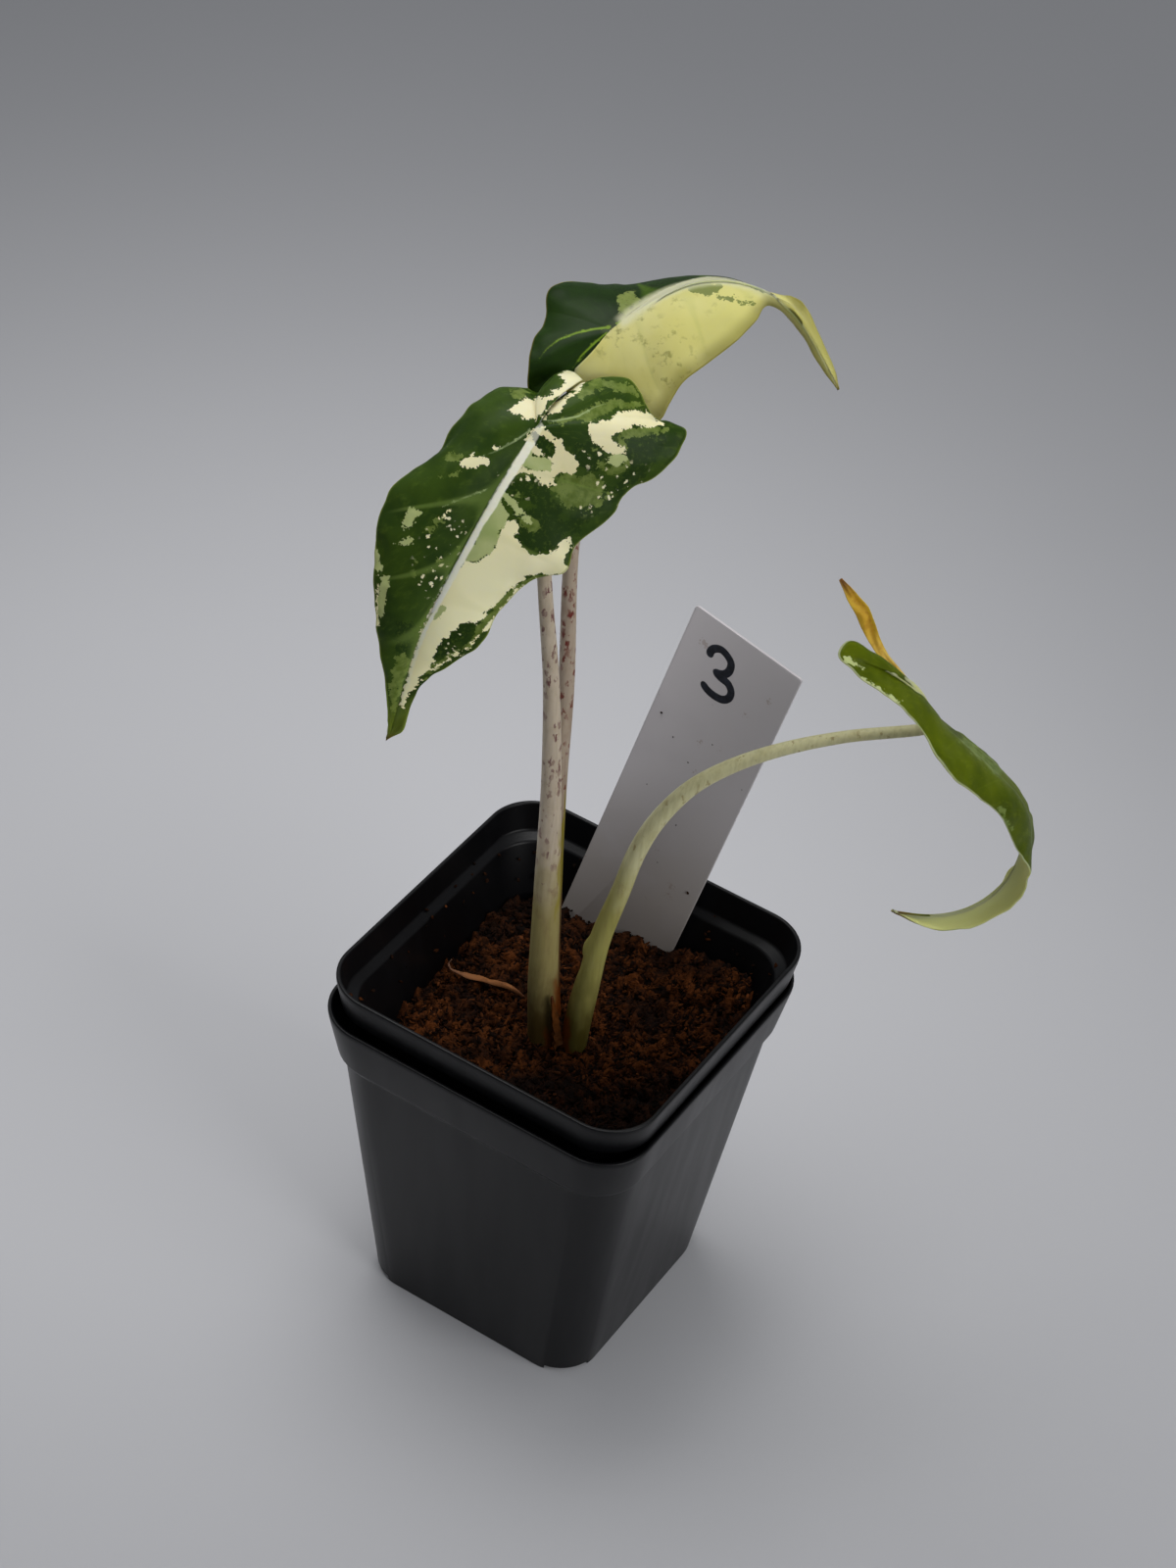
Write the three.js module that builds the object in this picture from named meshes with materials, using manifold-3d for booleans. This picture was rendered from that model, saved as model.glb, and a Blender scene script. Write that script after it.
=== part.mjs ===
// A young variegated alocasia in a square nursery pot, which stands in a second pot of the same size.
// Millimetres, +Z up. The origin is the centre of the outer pot's base.
import * as THREE from "three";
import { mergeVertices } from "three/addons/utils/BufferGeometryUtils.js";
import Module from "manifold-3d";

const wasm = await Module();
wasm.setup();

// Driving dimensions

const GAP = 0.3; // what pieces that touch keep between them
const WALL = 0.8; // wall of the moulded pots
const FOOT_ROUNDING = 0.7; // where a pot's wall meets its floor
const LIP = 0.35; // chamfer round the outside of a pot's rim

const OUTER_POT = {
  centre: [0, 0],
  baseZ: 0,
  rimZ: 75.4,
  collarHeight: 11,
  stepHeight: 1.4,
  baseHalf: 25.6,
  shoulderHalf: 32.6,
  collarHalf: 33.6,
  rimHalf: 35.3,
  baseCorner: 8.6,
  rimCorner: 10.3,
};

// It stands on the outer pot's floor, pushed a little to the back, and its rim shows above the outer one.
// Its body widens faster above the waist, so the ledge under its collar is narrow. A waist is [half, z].
const INNER_POT = {
  centre: [0.3, 1.1],
  baseZ: WALL + GAP,
  rimZ: 83.1,
  collarHeight: 7,
  stepHeight: 1,
  baseHalf: 22.8,
  waist: [29.8, 65],
  shoulderHalf: 32.3,
  collarHalf: 34.1,
  rimHalf: 35,
  baseCorner: 8.6,
  rimCorner: 10.3,
};

const DRAIN = { length: 9, width: 4.6, height: 2.4, inset: 2.6 };

// The compost lies flat in front and is heaped towards the back right corner.
const SOIL = { level: 64.6, slope: 0.055, cells: 26 };
const HEAP = { x: 30, y: 31, height: 5.2, wide: 22, deep: 15 }; // the compost heaped up in the back right corner
// Waves in its surface, with their height, and their turn in radians for each millimetre along x and y.
const CLODS = { height: 0.55, x: 0.33, shiftX: 1.3, y: 0.29, shiftY: -0.4 };
const LUMPS = [
  { height: 0.4, x: 0.9, y: -0.6, shift: 0 },
  { height: 0.35, x: 1.3, y: 1.1, shift: 2 },
];
const LUMP_PATCHES = { x: -0.5, y: 0.7 };
// A stalk's hole in the compost, from under its foot to above the surface, as shares of foot to neck.
const STALK_HOLE = { from: -0.03, to: 1.45 };

const LABEL = {
  width: 25,
  length: 94,
  thickness: 0.6,
  top: [9.4, 39.1, 141.5],
  along: [0.19, 0.137, 0.972],
  across: [0.98, -0.055, -0.185],
};

// Leaf stalks, from their foot in the compost to the blade: [x, y, z, radius].
const STALK_FRONT = [
  [-1, -3.3, 45, 2.6],
  [-1.5, -3.3, 63, 3.05],
  [-2.4, -4.2, 79.5, 2.95],
  [-3.2, -5.1, 105.5, 2.5],
  [-4, -6, 130, 1.85],
  [-5.5, -7, 153.5, 1.5],
  [-7.5, -9, 175.5, 1.3],
  [-9.6, -9.6, 194.5, 1.25],
  [-10.6, -10, 207.7, 1.15],
];
const STALK_BACK = [
  [-3.3, 2.6, 45, 2.1],
  [-3.8, 2.6, 60.5, 2.4],
  [-5.2, 2.5, 73, 2.35],
  [-6.8, 2.7, 98, 2.1],
  [-8, 3.4, 121.5, 1.75],
  [-9, 4.5, 144, 1.5],
  [-11, 5, 174, 1.3],
  [-11, 7, 196, 1.25],
  [-10.3, 8.7, 214.9, 1.3],
];
const STALK_RIGHT = [
  [4.4, -1.6, 45, 2],
  [4.5, -1.5, 63, 2.3],
  [5.5, -1, 79, 2.2],
  [6.5, 0, 92.5, 2.05],
  [9, 1, 105.5, 1.85],
  [11, 2, 116.5, 1.75],
  [13.5, 3.5, 124.5, 1.65],
  [18, 6, 133, 1.5],
  [23.5, 9, 139, 1.4],
  [31, 13, 144.5, 1.25],
  [40.5, 18.5, 149, 1.1],
  [52.4, 25, 152.9, 1.05],
];

// Blades. The midrib runs from the stalk to the tip. A margin starts at the far end of the notch between
// the basal lobes and goes round its lobe and on to the tip: [x, y, z, root], where root is the place
// along the midrib, 0 at the stalk and 1 at the tip, from which the side vein to that point springs.
// Left and right are those of someone who looks at the upper face with the tip pointing down.
const BLADE_FRONT = {
  midrib: [
    [-10.7, -11.8, 209.6],
    [-12.5, -19, 201],
    [-14, -24, 193.5],
    [-16, -29, 183.5],
    [-18.5, -32.5, 172],
    [-19.5, -34, 160.5],
    [-21.1, -34.9, 151.1],
  ],
  left: [
    [-9.7, 0.4, 212.8, 0],
    [-11.9, 1.2, 213.3, 0],
    [-13.8, 1, 212.7, 0],
    [-13.7, -1.1, 211.3, 0],
    [-15.4, -3.6, 209.9, 0],
    [-18.2, -3.5, 209.6, 0],
    [-21.2, -6.8, 209.8, 0],
    [-23, -12.4, 208.6, 0],
    [-23.8, -17, 205.6, 0],
    [-23.9, -20.9, 202.8, 0.05],
    [-26.1, -24.4, 200.7, 0.1],
    [-27.7, -27.8, 198, 0.15],
    [-27.8, -30.8, 194.5, 0.2],
    [-26.7, -33.3, 189.2, 0.3],
    [-25.4, -35.1, 184.4, 0.4],
    [-23.5, -36.3, 175.3, 0.55],
    [-21.1, -36.4, 164.8, 0.75],
    [-20.7, -35.4, 155.7, 0.95],
  ],
  right: [
    [-9.5, -0.3, 211.8, 0],
    [-8.6, 1.4, 212.7, 0],
    [-6.8, 3.8, 213, 0],
    [-4, 5.9, 212.4, 0],
    [-1.6, 6.4, 210.8, 0],
    [-0.1, 5.8, 209.2, 0],
    [3.1, 5.8, 207.4, 0],
    [7.2, 7.3, 206.9, 0],
    [8, 4.7, 204.7, 0],
    [7, 0.1, 201.3, 0],
    [4.5, -2.4, 199.6, 0.05],
    [3.1, -4.6, 197.9, 0.1],
    [3.1, -6.6, 195.8, 0.15],
    [1.2, -10.8, 192.8, 0.2],
    [-0.2, -13.2, 191.1, 0.25],
    [0.4, -16.3, 187.6, 0.3],
    [-3.4, -18.1, 185.8, 0.35],
    [-5.8, -20.4, 183.1, 0.4],
    [-7.9, -23.5, 178.6, 0.5],
    [-8.6, -26.4, 174.1, 0.6],
    [-12.6, -30, 169.2, 0.7],
    [-16.9, -32.1, 164.2, 0.8],
    [-18.2, -32.4, 159.1, 0.9],
    [-18, -34.7, 155.1, 0.95],
  ],
  leftArch: 0.16,
  rightArch: 0.08,
};
const BLADE_BACK = {
  midrib: [
    [-10.5, 9.6, 217.6],
    [-8.4, 14.5, 220.5],
    [-6.5, 19.1, 222.5],
    [-2, 25.4, 223.9],
    [3.9, 28.6, 223.6],
    [9.2, 28.6, 223.3],
    [14.4, 27.5, 223.6],
    [20.3, 25.1, 220.3],
    [27, 22.2, 215.8],
  ],
  left: [
    [-14.6, 1.4, 210.1, 0],
    [-11.1, 2.1, 205.7, 0],
    [-6.6, 3.5, 203.1, 0],
    [-1.4, 6.4, 203, 0],
    [1.8, 8, 205.8, 0.05],
    [2.9, 8.7, 209.5, 0.1],
    [4.1, 10.5, 213.5, 0.2],
    [6, 14.8, 215.8, 0.3],
    [8, 19.4, 218.4, 0.4],
    [8.9, 24.5, 220.5, 0.5],
    [9.1, 28.1, 221.9, 0.65],
    [13.4, 27.9, 221.2, 0.75],
    [19.1, 25.5, 219.3, 0.85],
    [24.6, 23, 216.6, 0.95],
  ],
  right: [
    [-13.8, 1.1, 210.7, 0],
    [-15.4, -1.2, 208.6, 0],
    [-18.2, -2.1, 208.2, 0],
    [-19.2, -1.5, 212, 0],
    [-21.2, 2.9, 214.8, 0],
    [-21.5, 5.9, 215.7, 0],
    [-22.7, 8.6, 216.7, 0],
    [-24.2, 11.1, 218.1, 0],
    [-24.4, 13.5, 218.8, 0],
    [-23.5, 15.8, 218.7, 0.05],
    [-18.8, 20.9, 217.6, 0.1],
    [-13.3, 25.4, 217.8, 0.25],
    [-7, 30, 219.2, 0.4],
    [-1.4, 31.9, 220.2, 0.5],
    [5.3, 31.8, 220.7, 0.6],
    [9.1, 31.3, 222.2, 0.7],
    [14.1, 29.5, 224.2, 0.75],
    [16.8, 28.6, 222.9, 0.8],
    [20.2, 26.9, 220.3, 0.85],
    [23.6, 25.5, 217.6, 0.95],
  ],
  leftArch: 0.12,
  rightArch: 0.06,
};
const BLADE_RIGHT = {
  midrib: [
    [53.5, 25.5, 154],
    [57, 27.5, 151],
    [60.5, 29.5, 147.5],
    [64.5, 31.5, 143.5],
    [68, 33.5, 140],
    [70.5, 35, 136],
    [72, 36, 131],
    [72.5, 36, 126],
    [71.5, 35.5, 121],
    [69.5, 34.5, 114.5],
    [65, 32, 108.5],
    [59, 28.5, 106],
    [53, 25, 109],
  ],
  left: [
    [42.7, 12.6, 175.3, 0],
    [41.7, 9.8, 177.2, 0],
    [42, 6.8, 176.3, 0],
    [45.5, 6.9, 173.9, 0],
    [50.1, 8.9, 170.9, 0],
    [54, 11.4, 166.9, 0],
    [57.2, 13.9, 161.6, 0.05],
    [61, 12.5, 159.5, 0.1],
    [64.5, 13.4, 155.9, 0.2],
    [68.4, 17, 151, 0.35],
    [71, 21.4, 145.4, 0.45],
    [73.3, 27.5, 134.1, 0.55],
    [75.2, 30.5, 128.4, 0.6],
    [75.1, 32.4, 123.3, 0.65],
    [73.6, 32.5, 117.4, 0.75],
    [70.5, 31.7, 112.2, 0.8],
    [65.9, 29.5, 108.6, 0.85],
    [60.5, 27.6, 106.6, 0.95],
  ],
  right: [
    [52.5, 28, 154.6, 0],
    [51.8, 34, 148.4, 0],
    [55.1, 39.1, 142.5, 0.1],
    [58.7, 42.8, 137.7, 0.2],
    [62.6, 43.7, 134.6, 0.3],
    [66.4, 43.7, 131.7, 0.4],
    [69, 43.5, 128.3, 0.5],
    [70.7, 42.3, 124.7, 0.55],
    [71.4, 40.6, 121.4, 0.6],
    [69, 38.5, 118.5, 0.7],
    [68, 37.5, 114, 0.75],
    [65.5, 35.5, 110, 0.8],
    [62.5, 33, 107.5, 0.85],
    [58.5, 30, 105.5, 0.95],
  ],
  leftArch: 0.14,
  rightArch: 0.03,
};
const BLADE = {
  thickness: 0.6,
  keelDepth: 1.1, // how far the midrib stands out of the lower face at the stalk
  keelWidth: 1.5,
  quilting: 0.35, // how far the blade swells between two side veins
  rowsPerVein: 4,
  fanSteps: 2, // rows from each point of a lobe's margin to the next
  level: 3, // how far from the stalk the lobes still face the way the stalk's end does
  midribRows: 20,
  columns: 6,
  crowding: 1.35, // above 1, the columns stand closer together at the midrib
};

// How finely stalks and ribbons are swept.
const STALK_FACETS = { sides: 10, steps: 26 };
const LONG_RIBBON_FACETS = { sides: 8, steps: 16 };
const SHORT_RIBBON_FACETS = { sides: 8, steps: 10 };

// Dried bits, as ribbons: [x, y, z, half width, half thickness, turn in degrees].
const DRY_LOBE = [
  [52.1, 27.5, 155.3, 0.45, 0.35, 0],
  [50.5, 26.8, 156.9, 0.5, 0.35, -5],
  [48.3, 26, 159.1, 0.55, 0.35, -12],
  [45.5, 24.9, 162, 0.6, 0.35, -20],
  [42.9, 24, 165, 0.7, 0.35, -30],
  [41, 23.5, 168, 1, 0.35, -38],
  [39.2, 23.3, 170.9, 1.35, 0.35, -43],
  [37.6, 23, 173.7, 1.35, 0.35, -43],
  [35.5, 22.4, 176.3, 1, 0.35, -48],
  [33.3, 21.8, 179, 0.35, 0.35, -55],
];
const DRY_SHEATH = [
  [2.5, -4.8, 65, 1, 0.35, 0],
  [2.2, -5.3, 68.5, 0.9, 0.35, 5],
  [1.6, -6, 73, 0.7, 0.35, 8],
  [0.9, -6.7, 79, 0.35, 0.3, 10],
];
// The scrap's z is its height above the compost.
const DRY_SCRAP = [
  [-24.6, 0.2, 1.4, 0.3, 0.3, 0],
  [-22.9, 1, 1.4, 0.7, 0.35, 15],
  [-17.5, 1.6, 1.6, 1.1, 0.35, 35],
  [-13.6, 2.4, 1.6, 0.9, 0.35, 60],
  [-10, 2.6, 1.2, 0.3, 0.3, 80],
];

// Materials

function finish(color, roughness) {
  return new THREE.MeshStandardMaterial({ color, roughness, metalness: 0 });
}

const BLACK_PLASTIC = finish(0x17181b, 0.42);
const COMPOST = finish(0x4a2414, 1);
const PALE_STALK = finish(0xc4b7a2, 0.5);
const GREEN_STALK = finish(0xb4b878, 0.5);
const GREEN_LEAF = finish(0x2f5a20, 0.4);
const CREAM_LEAF = finish(0xd8d48a, 0.4);
const DRY_LEAF = finish(0xb98a2c, 0.8);
const DRY_SKIN = finish(0x8a4a20, 0.85);
const WHITE_PLASTIC = finish(0xd9d6d8, 0.5);

// Solids

function geometryOf(points, faces) {
  const geometry = new THREE.BufferGeometry();
  const coordinates = points.flatMap((point) => [point.x, point.y, point.z]);
  geometry.setAttribute("position", new THREE.Float32BufferAttribute(coordinates, 3));
  geometry.setIndex(faces.flat());
  return geometry;
}

/** Closed skin through rings of equal length, which turn to the left about the way from ring to ring. */
function loft(rings) {
  const count = rings[0].length;
  const points = rings.flat();
  const faces = [];
  for (let ring = 0; ring + 1 < rings.length; ring++) {
    for (let i = 0; i < count; i++) {
      const a = ring * count + i;
      const b = ring * count + ((i + 1) % count);
      faces.push([a, b, b + count], [a, b + count, a + count]);
    }
  }
  for (const [ring, closesBelow] of [[0, true], [rings.length - 1, false]]) {
    const middle = new THREE.Vector3();
    rings[ring].forEach((point) => middle.add(point));
    points.push(middle.divideScalar(count));
    for (let i = 0; i < count; i++) {
      const a = ring * count + i;
      const b = ring * count + ((i + 1) % count);
      faces.push(closesBelow ? [points.length - 1, b, a] : [points.length - 1, a, b]);
    }
  }
  return geometryOf(points, faces);
}

function toManifold(geometry) {
  const bare = geometry.clone();
  bare.deleteAttribute("normal");
  bare.deleteAttribute("uv");
  const merged = mergeVertices(bare, 1e-4);
  return new wasm.Manifold(new wasm.Mesh({
    numProp: 3,
    vertProperties: new Float32Array(merged.attributes.position.array),
    triVerts: new Uint32Array(merged.index.array),
  }));
}

function subtract(geometry, cutters) {
  const body = cutters.reduce((rest, cutter) => rest.subtract(toManifold(cutter)), toManifold(geometry));
  const mesh = body.getMesh();
  const result = new THREE.BufferGeometry();
  result.setAttribute("position", new THREE.BufferAttribute(Float32Array.from(mesh.vertProperties), 3));
  result.setIndex(new THREE.BufferAttribute(Uint32Array.from(mesh.triVerts), 1));
  return result;
}

// Pots

const CORNER_STEPS = 6;

/** A level square ring with rounded corners. */
function squareRing([centreX, centreY], half, corner, z) {
  const points = [];
  for (let quarter = 0; quarter < 4; quarter++) {
    const diagonal = Math.PI / 4 + (quarter * Math.PI) / 2;
    const reach = (half - corner) * Math.SQRT2;
    for (let step = 0; step <= CORNER_STEPS; step++) {
      const angle = (quarter + step / CORNER_STEPS) * (Math.PI / 2);
      points.push(new THREE.Vector3(
        centreX + reach * Math.cos(diagonal) + corner * Math.cos(angle),
        centreY + reach * Math.sin(diagonal) + corner * Math.sin(angle),
        z,
      ));
    }
  }
  return points;
}

function cornerAt(pot, z) {
  return THREE.MathUtils.mapLinear(z, pot.baseZ, pot.rimZ, pot.baseCorner, pot.rimCorner);
}

function shoulderHeight(pot) {
  return pot.rimZ - pot.collarHeight - pot.stepHeight;
}

/** Half the outer width of a pot's tapering body, up to its waist or, without one, to its shoulder. */
function bodyHalf(pot, z) {
  const [topHalf, topZ] = pot.waist ?? [pot.shoulderHalf, shoulderHeight(pot)];
  return THREE.MathUtils.mapLinear(z, pot.baseZ, topZ, pot.baseHalf, topHalf);
}

function potGeometry(pot) {
  const collarZ = pot.rimZ - pot.collarHeight;
  const shoulderZ = shoulderHeight(pot);
  const waists = pot.waist ? [pot.waist] : [];
  const outside = [
    [pot.baseHalf - FOOT_ROUNDING, pot.baseZ],
    [pot.baseHalf, pot.baseZ + FOOT_ROUNDING],
    ...waists,
    [pot.shoulderHalf, shoulderZ],
    [pot.collarHalf, collarZ],
    [pot.rimHalf, pot.rimZ - LIP],
    [pot.rimHalf - LIP, pot.rimZ],
  ];
  const inside = [
    [pot.rimHalf - WALL, pot.rimZ],
    [pot.collarHalf - WALL, collarZ + WALL],
    [pot.shoulderHalf - WALL, shoulderZ + WALL],
    ...waists.map(([half, z]) => [half - WALL, z]),
    [bodyHalf(pot, pot.baseZ + WALL + FOOT_ROUNDING) - WALL, pot.baseZ + WALL + FOOT_ROUNDING],
    [bodyHalf(pot, pot.baseZ + WALL) - WALL - FOOT_ROUNDING, pot.baseZ + WALL],
  ];
  const rings = [
    ...outside.map(([half, z]) => squareRing(pot.centre, half, cornerAt(pot, z), z)),
    ...inside.map(([half, z]) => squareRing(pot.centre, half, cornerAt(pot, z) - WALL, z)),
  ];
  return subtract(loft(rings), drainCutters(pot));
}

/** One slot through the floor and the foot of the wall at each corner. */
function drainCutters(pot) {
  const reach = pot.baseHalf * Math.SQRT2 - pot.baseCorner * (Math.SQRT2 - 1) - DRAIN.inset;
  return [0, 1, 2, 3].map((quarter) => {
    const angle = Math.PI / 4 + (quarter * Math.PI) / 2;
    const box = new THREE.BoxGeometry(DRAIN.width + 2 * DRAIN.inset, DRAIN.length, 2 * DRAIN.height);
    box.rotateZ(angle);
    box.translate(
      pot.centre[0] + (reach + DRAIN.inset) * Math.cos(angle),
      pot.centre[1] + (reach + DRAIN.inset) * Math.sin(angle),
      pot.baseZ,
    );
    return box;
  });
}

// Compost

function soilHeight(x, y) {
  const slope = SOIL.slope * (x + y);
  const heap = HEAP.height * Math.exp(-(((x - HEAP.x) / HEAP.wide) ** 2) - ((y - HEAP.y) / HEAP.deep) ** 2);
  const clods = CLODS.height * Math.sin(CLODS.x * x + CLODS.shiftX) * Math.cos(CLODS.y * y + CLODS.shiftY);
  let lumps = 0;
  for (const wave of LUMPS) lumps += wave.height * Math.sin(wave.x * x + wave.y * y + wave.shift);
  return SOIL.level + slope + heap + clods + lumps * Math.cos(LUMP_PATCHES.x * x + LUMP_PATCHES.y * y);
}

/** Pulls a point of the square [-1, 1] by [-1, 1] onto a rounded square of the pot's inside. */
function insidePot(u, v, z, clear = GAP) {
  const half = bodyHalf(INNER_POT, z) - WALL - clear;
  const straight = half - (cornerAt(INNER_POT, z) - WALL);
  let x = Math.abs(u) * half;
  let y = Math.abs(v) * half;
  const beyondX = x - straight;
  const beyondY = y - straight;
  if (beyondX > 0 && beyondY > 0) {
    const pull = Math.max(beyondX, beyondY) / Math.hypot(beyondX, beyondY);
    x = straight + beyondX * pull;
    y = straight + beyondY * pull;
  }
  return [INNER_POT.centre[0] + x * Math.sign(u), INNER_POT.centre[1] + y * Math.sign(v)];
}

function soilGeometry() {
  const side = SOIL.cells + 1;
  const floorZ = INNER_POT.baseZ + WALL + GAP;
  const points = [];
  for (const layer of ["top", "bottom"]) {
    for (let row = 0; row < side; row++) {
      for (let column = 0; column < side; column++) {
        const u = (2 * column) / SOIL.cells - 1;
        const v = (2 * row) / SOIL.cells - 1;
        if (layer === "bottom") {
          points.push(new THREE.Vector3(...insidePot(u, v, floorZ, GAP + FOOT_ROUNDING), floorZ));
          continue;
        }
        const [guessX, guessY] = insidePot(u, v, SOIL.level);
        const z = soilHeight(guessX, guessY);
        points.push(new THREE.Vector3(...insidePot(u, v, z), z));
      }
    }
  }
  const faces = [];
  const under = side * side;
  for (let row = 0; row < SOIL.cells; row++) {
    for (let column = 0; column < SOIL.cells; column++) {
      const a = row * side + column;
      faces.push([a, a + 1, a + 1 + side], [a, a + 1 + side, a + side]);
    }
  }
  const edge = [];
  for (let i = 0; i < SOIL.cells; i++) edge.push(i);
  for (let i = 0; i < SOIL.cells; i++) edge.push(i * side + SOIL.cells);
  for (let i = SOIL.cells; i > 0; i--) edge.push(SOIL.cells * side + i);
  for (let i = SOIL.cells; i > 0; i--) edge.push(i * side);
  const middle = points.length;
  points.push(new THREE.Vector3(...INNER_POT.centre, floorZ));
  edge.forEach((a, i) => {
    const b = edge[(i + 1) % edge.length];
    faces.push([b, a, a + under], [b, a + under, b + under], [a + under, middle, b + under]);
  });
  const holes = [STALK_FRONT, STALK_BACK, STALK_RIGHT].map((stalk) => stalkHole(stalk));
  const sizes = [LABEL.width, LABEL.thickness, LABEL.length].map((size) => size + 2 * GAP);
  const slot = new THREE.BoxGeometry(...sizes).applyMatrix4(labelPlace());
  return subtract(geometryOf(usedOnly(points, faces), faces), [...holes, slot]);
}

/** Drops the points that no face names, and renumbers the faces to match. */
function usedOnly(points, faces) {
  const numbers = new Map();
  const kept = [];
  faces.forEach((face) => face.forEach((old, corner) => {
    if (!numbers.has(old)) {
      numbers.set(old, kept.length);
      kept.push(points[old]);
    }
    face[corner] = numbers.get(old);
  }));
  return kept;
}

// Ribbons and stalks

/** Sweeps an oval along a curve. Each row is [x, y, z, half width, half thickness, turn in degrees]. */
function sweep(rows, { sides, steps }) {
  const curve = new THREE.CatmullRomCurve3(rows.map((row) => new THREE.Vector3(...row)));
  const rings = [];
  let side = new THREE.Vector3(0, -1, 0);
  for (let step = 0; step <= steps; step++) {
    const t = step / steps;
    const along = curve.getTangent(t);
    side = side.clone().addScaledVector(along, -side.dot(along)).normalize();
    const up = new THREE.Vector3().crossVectors(along, side);
    const [wide, thick, turn] = [3, 4, 5].map((value) => between(rows, value, t));
    const spin = THREE.MathUtils.degToRad(turn);
    const ring = [];
    for (let i = 0; i < sides; i++) {
      const angle = (2 * Math.PI * i) / sides;
      const a = wide * Math.cos(angle);
      const b = thick * Math.sin(angle);
      ring.push(curve.getPoint(t)
        .addScaledVector(side, a * Math.cos(spin) - b * Math.sin(spin))
        .addScaledVector(up, a * Math.sin(spin) + b * Math.cos(spin)));
    }
    rings.push(ring);
  }
  return loft(rings);
}

/** A value of evenly numbered rows at t, from 0 at the first row to 1 at the last. */
function between(rows, value, t) {
  const place = t * (rows.length - 1);
  const low = Math.min(Math.floor(place), rows.length - 2);
  return THREE.MathUtils.lerp(rows[low][value], rows[low + 1][value], place - low);
}

function stalkGeometry(rows) {
  return sweep(rows.map(([x, y, z, radius]) => [x, y, z, radius, radius, 0]), STALK_FACETS);
}

/** What a stalk's foot takes out of the compost: a straight tapering hole, open at the top. */
function stalkHole(rows) {
  const [foot, neck] = rows;
  const slope = [neck[0] - foot[0], neck[1] - foot[1], neck[2] - foot[2]];
  const at = (t, radius) => [foot[0] + t * slope[0], foot[1] + t * slope[1], foot[2] + t * slope[2], radius];
  const wide = neck[3] + 2 * GAP;
  const { from, to } = STALK_HOLE;
  return stalkGeometry([at(from, foot[3] + GAP), at(1, wide), at(to, wide + GAP)]);
}

// Blades

/** How far along a margin, from 0 to 1, the side vein ends that springs from the given root. */
function placeOfRoot(margin, root) {
  let i = margin.findLastIndex((row) => row[3] === 0);
  while (i + 2 < margin.length && margin[i + 1][3] < root) i++;
  const share = (root - margin[i][3]) / (margin[i + 1][3] - margin[i][3]);
  return (i + share) / (margin.length - 1);
}

function bladeGeometry(leaf) {
  const { midribRows, columns } = BLADE;
  const vectors = (rows) => rows.map((row) => new THREE.Vector3(row[0], row[1], row[2]));
  const tip = [...leaf.midrib.at(-1), 1];
  const rib = new THREE.CatmullRomCurve3(vectors(leaf.midrib));
  const middle = [];
  for (let i = 0; i <= midribRows; i++) middle.push(rib.getPoint(i / midribRows));
  const points = [...middle];
  const details = middle.map((_, i) => ({ across: 0, reach: 0, row: 0, root: i / midribRows, arch: 0 }));
  const faces = [];

  const halves = [
    [leaf.left, leaf.leftArch, true],
    [leaf.right, leaf.rightArch, false],
  ];
  for (const [rows, arch, isLeft] of halves) {
    const margin = [...rows, tip];
    const edge = new THREE.CatmullRomCurve3(vectors(margin));
    const lobePoints = margin.findLastIndex((row) => row[3] === 0);
    const fanEnd = lobePoints / (margin.length - 1);
    const fanRows = lobePoints * BLADE.fanSteps;
    const lastRow = fanRows + midribRows;
    const start = points.length;
    for (let row = 0; row < lastRow; row++) {
      const root = Math.max(0, row - fanRows) / midribRows;
      const t = row <= fanRows ? (fanEnd * row) / fanRows : placeOfRoot(margin, root);
      const from = rib.getPoint(root);
      const to = edge.getPoint(t);
      for (let column = 1; column <= columns; column++) {
        const across = (column / columns) ** BLADE.crowding;
        points.push(from.clone().lerp(to, across));
        details.push({ across, reach: from.distanceTo(to), row, root, arch });
      }
    }
    const vertex = (row, column) => {
      if (row === lastRow) return midribRows;
      if (column === 0) return Math.max(0, row - fanRows);
      return start + row * columns + column - 1;
    };
    for (let row = 0; row < lastRow; row++) {
      for (let column = 0; column < columns; column++) {
        const [a, b] = [vertex(row, column), vertex(row, column + 1)];
        const [c, d] = [vertex(row + 1, column + 1), vertex(row + 1, column)];
        for (const face of [[a, b, c], [a, c, d]]) {
          if (new Set(face).size === 3) faces.push(isLeft ? face : face.toReversed());
        }
      }
    }
  }

  const ruled = facing(points, faces);
  points.forEach((point, i) => {
    const { across, reach, row, arch } = details[i];
    const bulge = arch * reach * 4 * across * (1 - across);
    const pillow = Math.sin((Math.PI * row) / BLADE.rowsPerVein) ** 2 * Math.sin(Math.PI * across);
    const swelling = BLADE.quilting * pillow;
    point.addScaledVector(ruled[i], bulge + swelling);
  });
  return thicken(points, faces, details);
}

/** Which way a blade's sheet faces at each point. Near the stalk, point 0, it faces one way all round. */
function facing(points, faces) {
  const geometry = geometryOf(points, faces);
  geometry.computeVertexNormals();
  const { normal: given } = geometry.attributes;
  const normals = points.map((_, i) => new THREE.Vector3().fromBufferAttribute(given, i));
  const atStalk = normals[0].clone();
  return normals.map((normal, i) => {
    const near = Math.exp(-((points[i].distanceTo(points[0]) / BLADE.level) ** 2));
    return normal.lerp(atStalk, near).normalize();
  });
}

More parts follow.
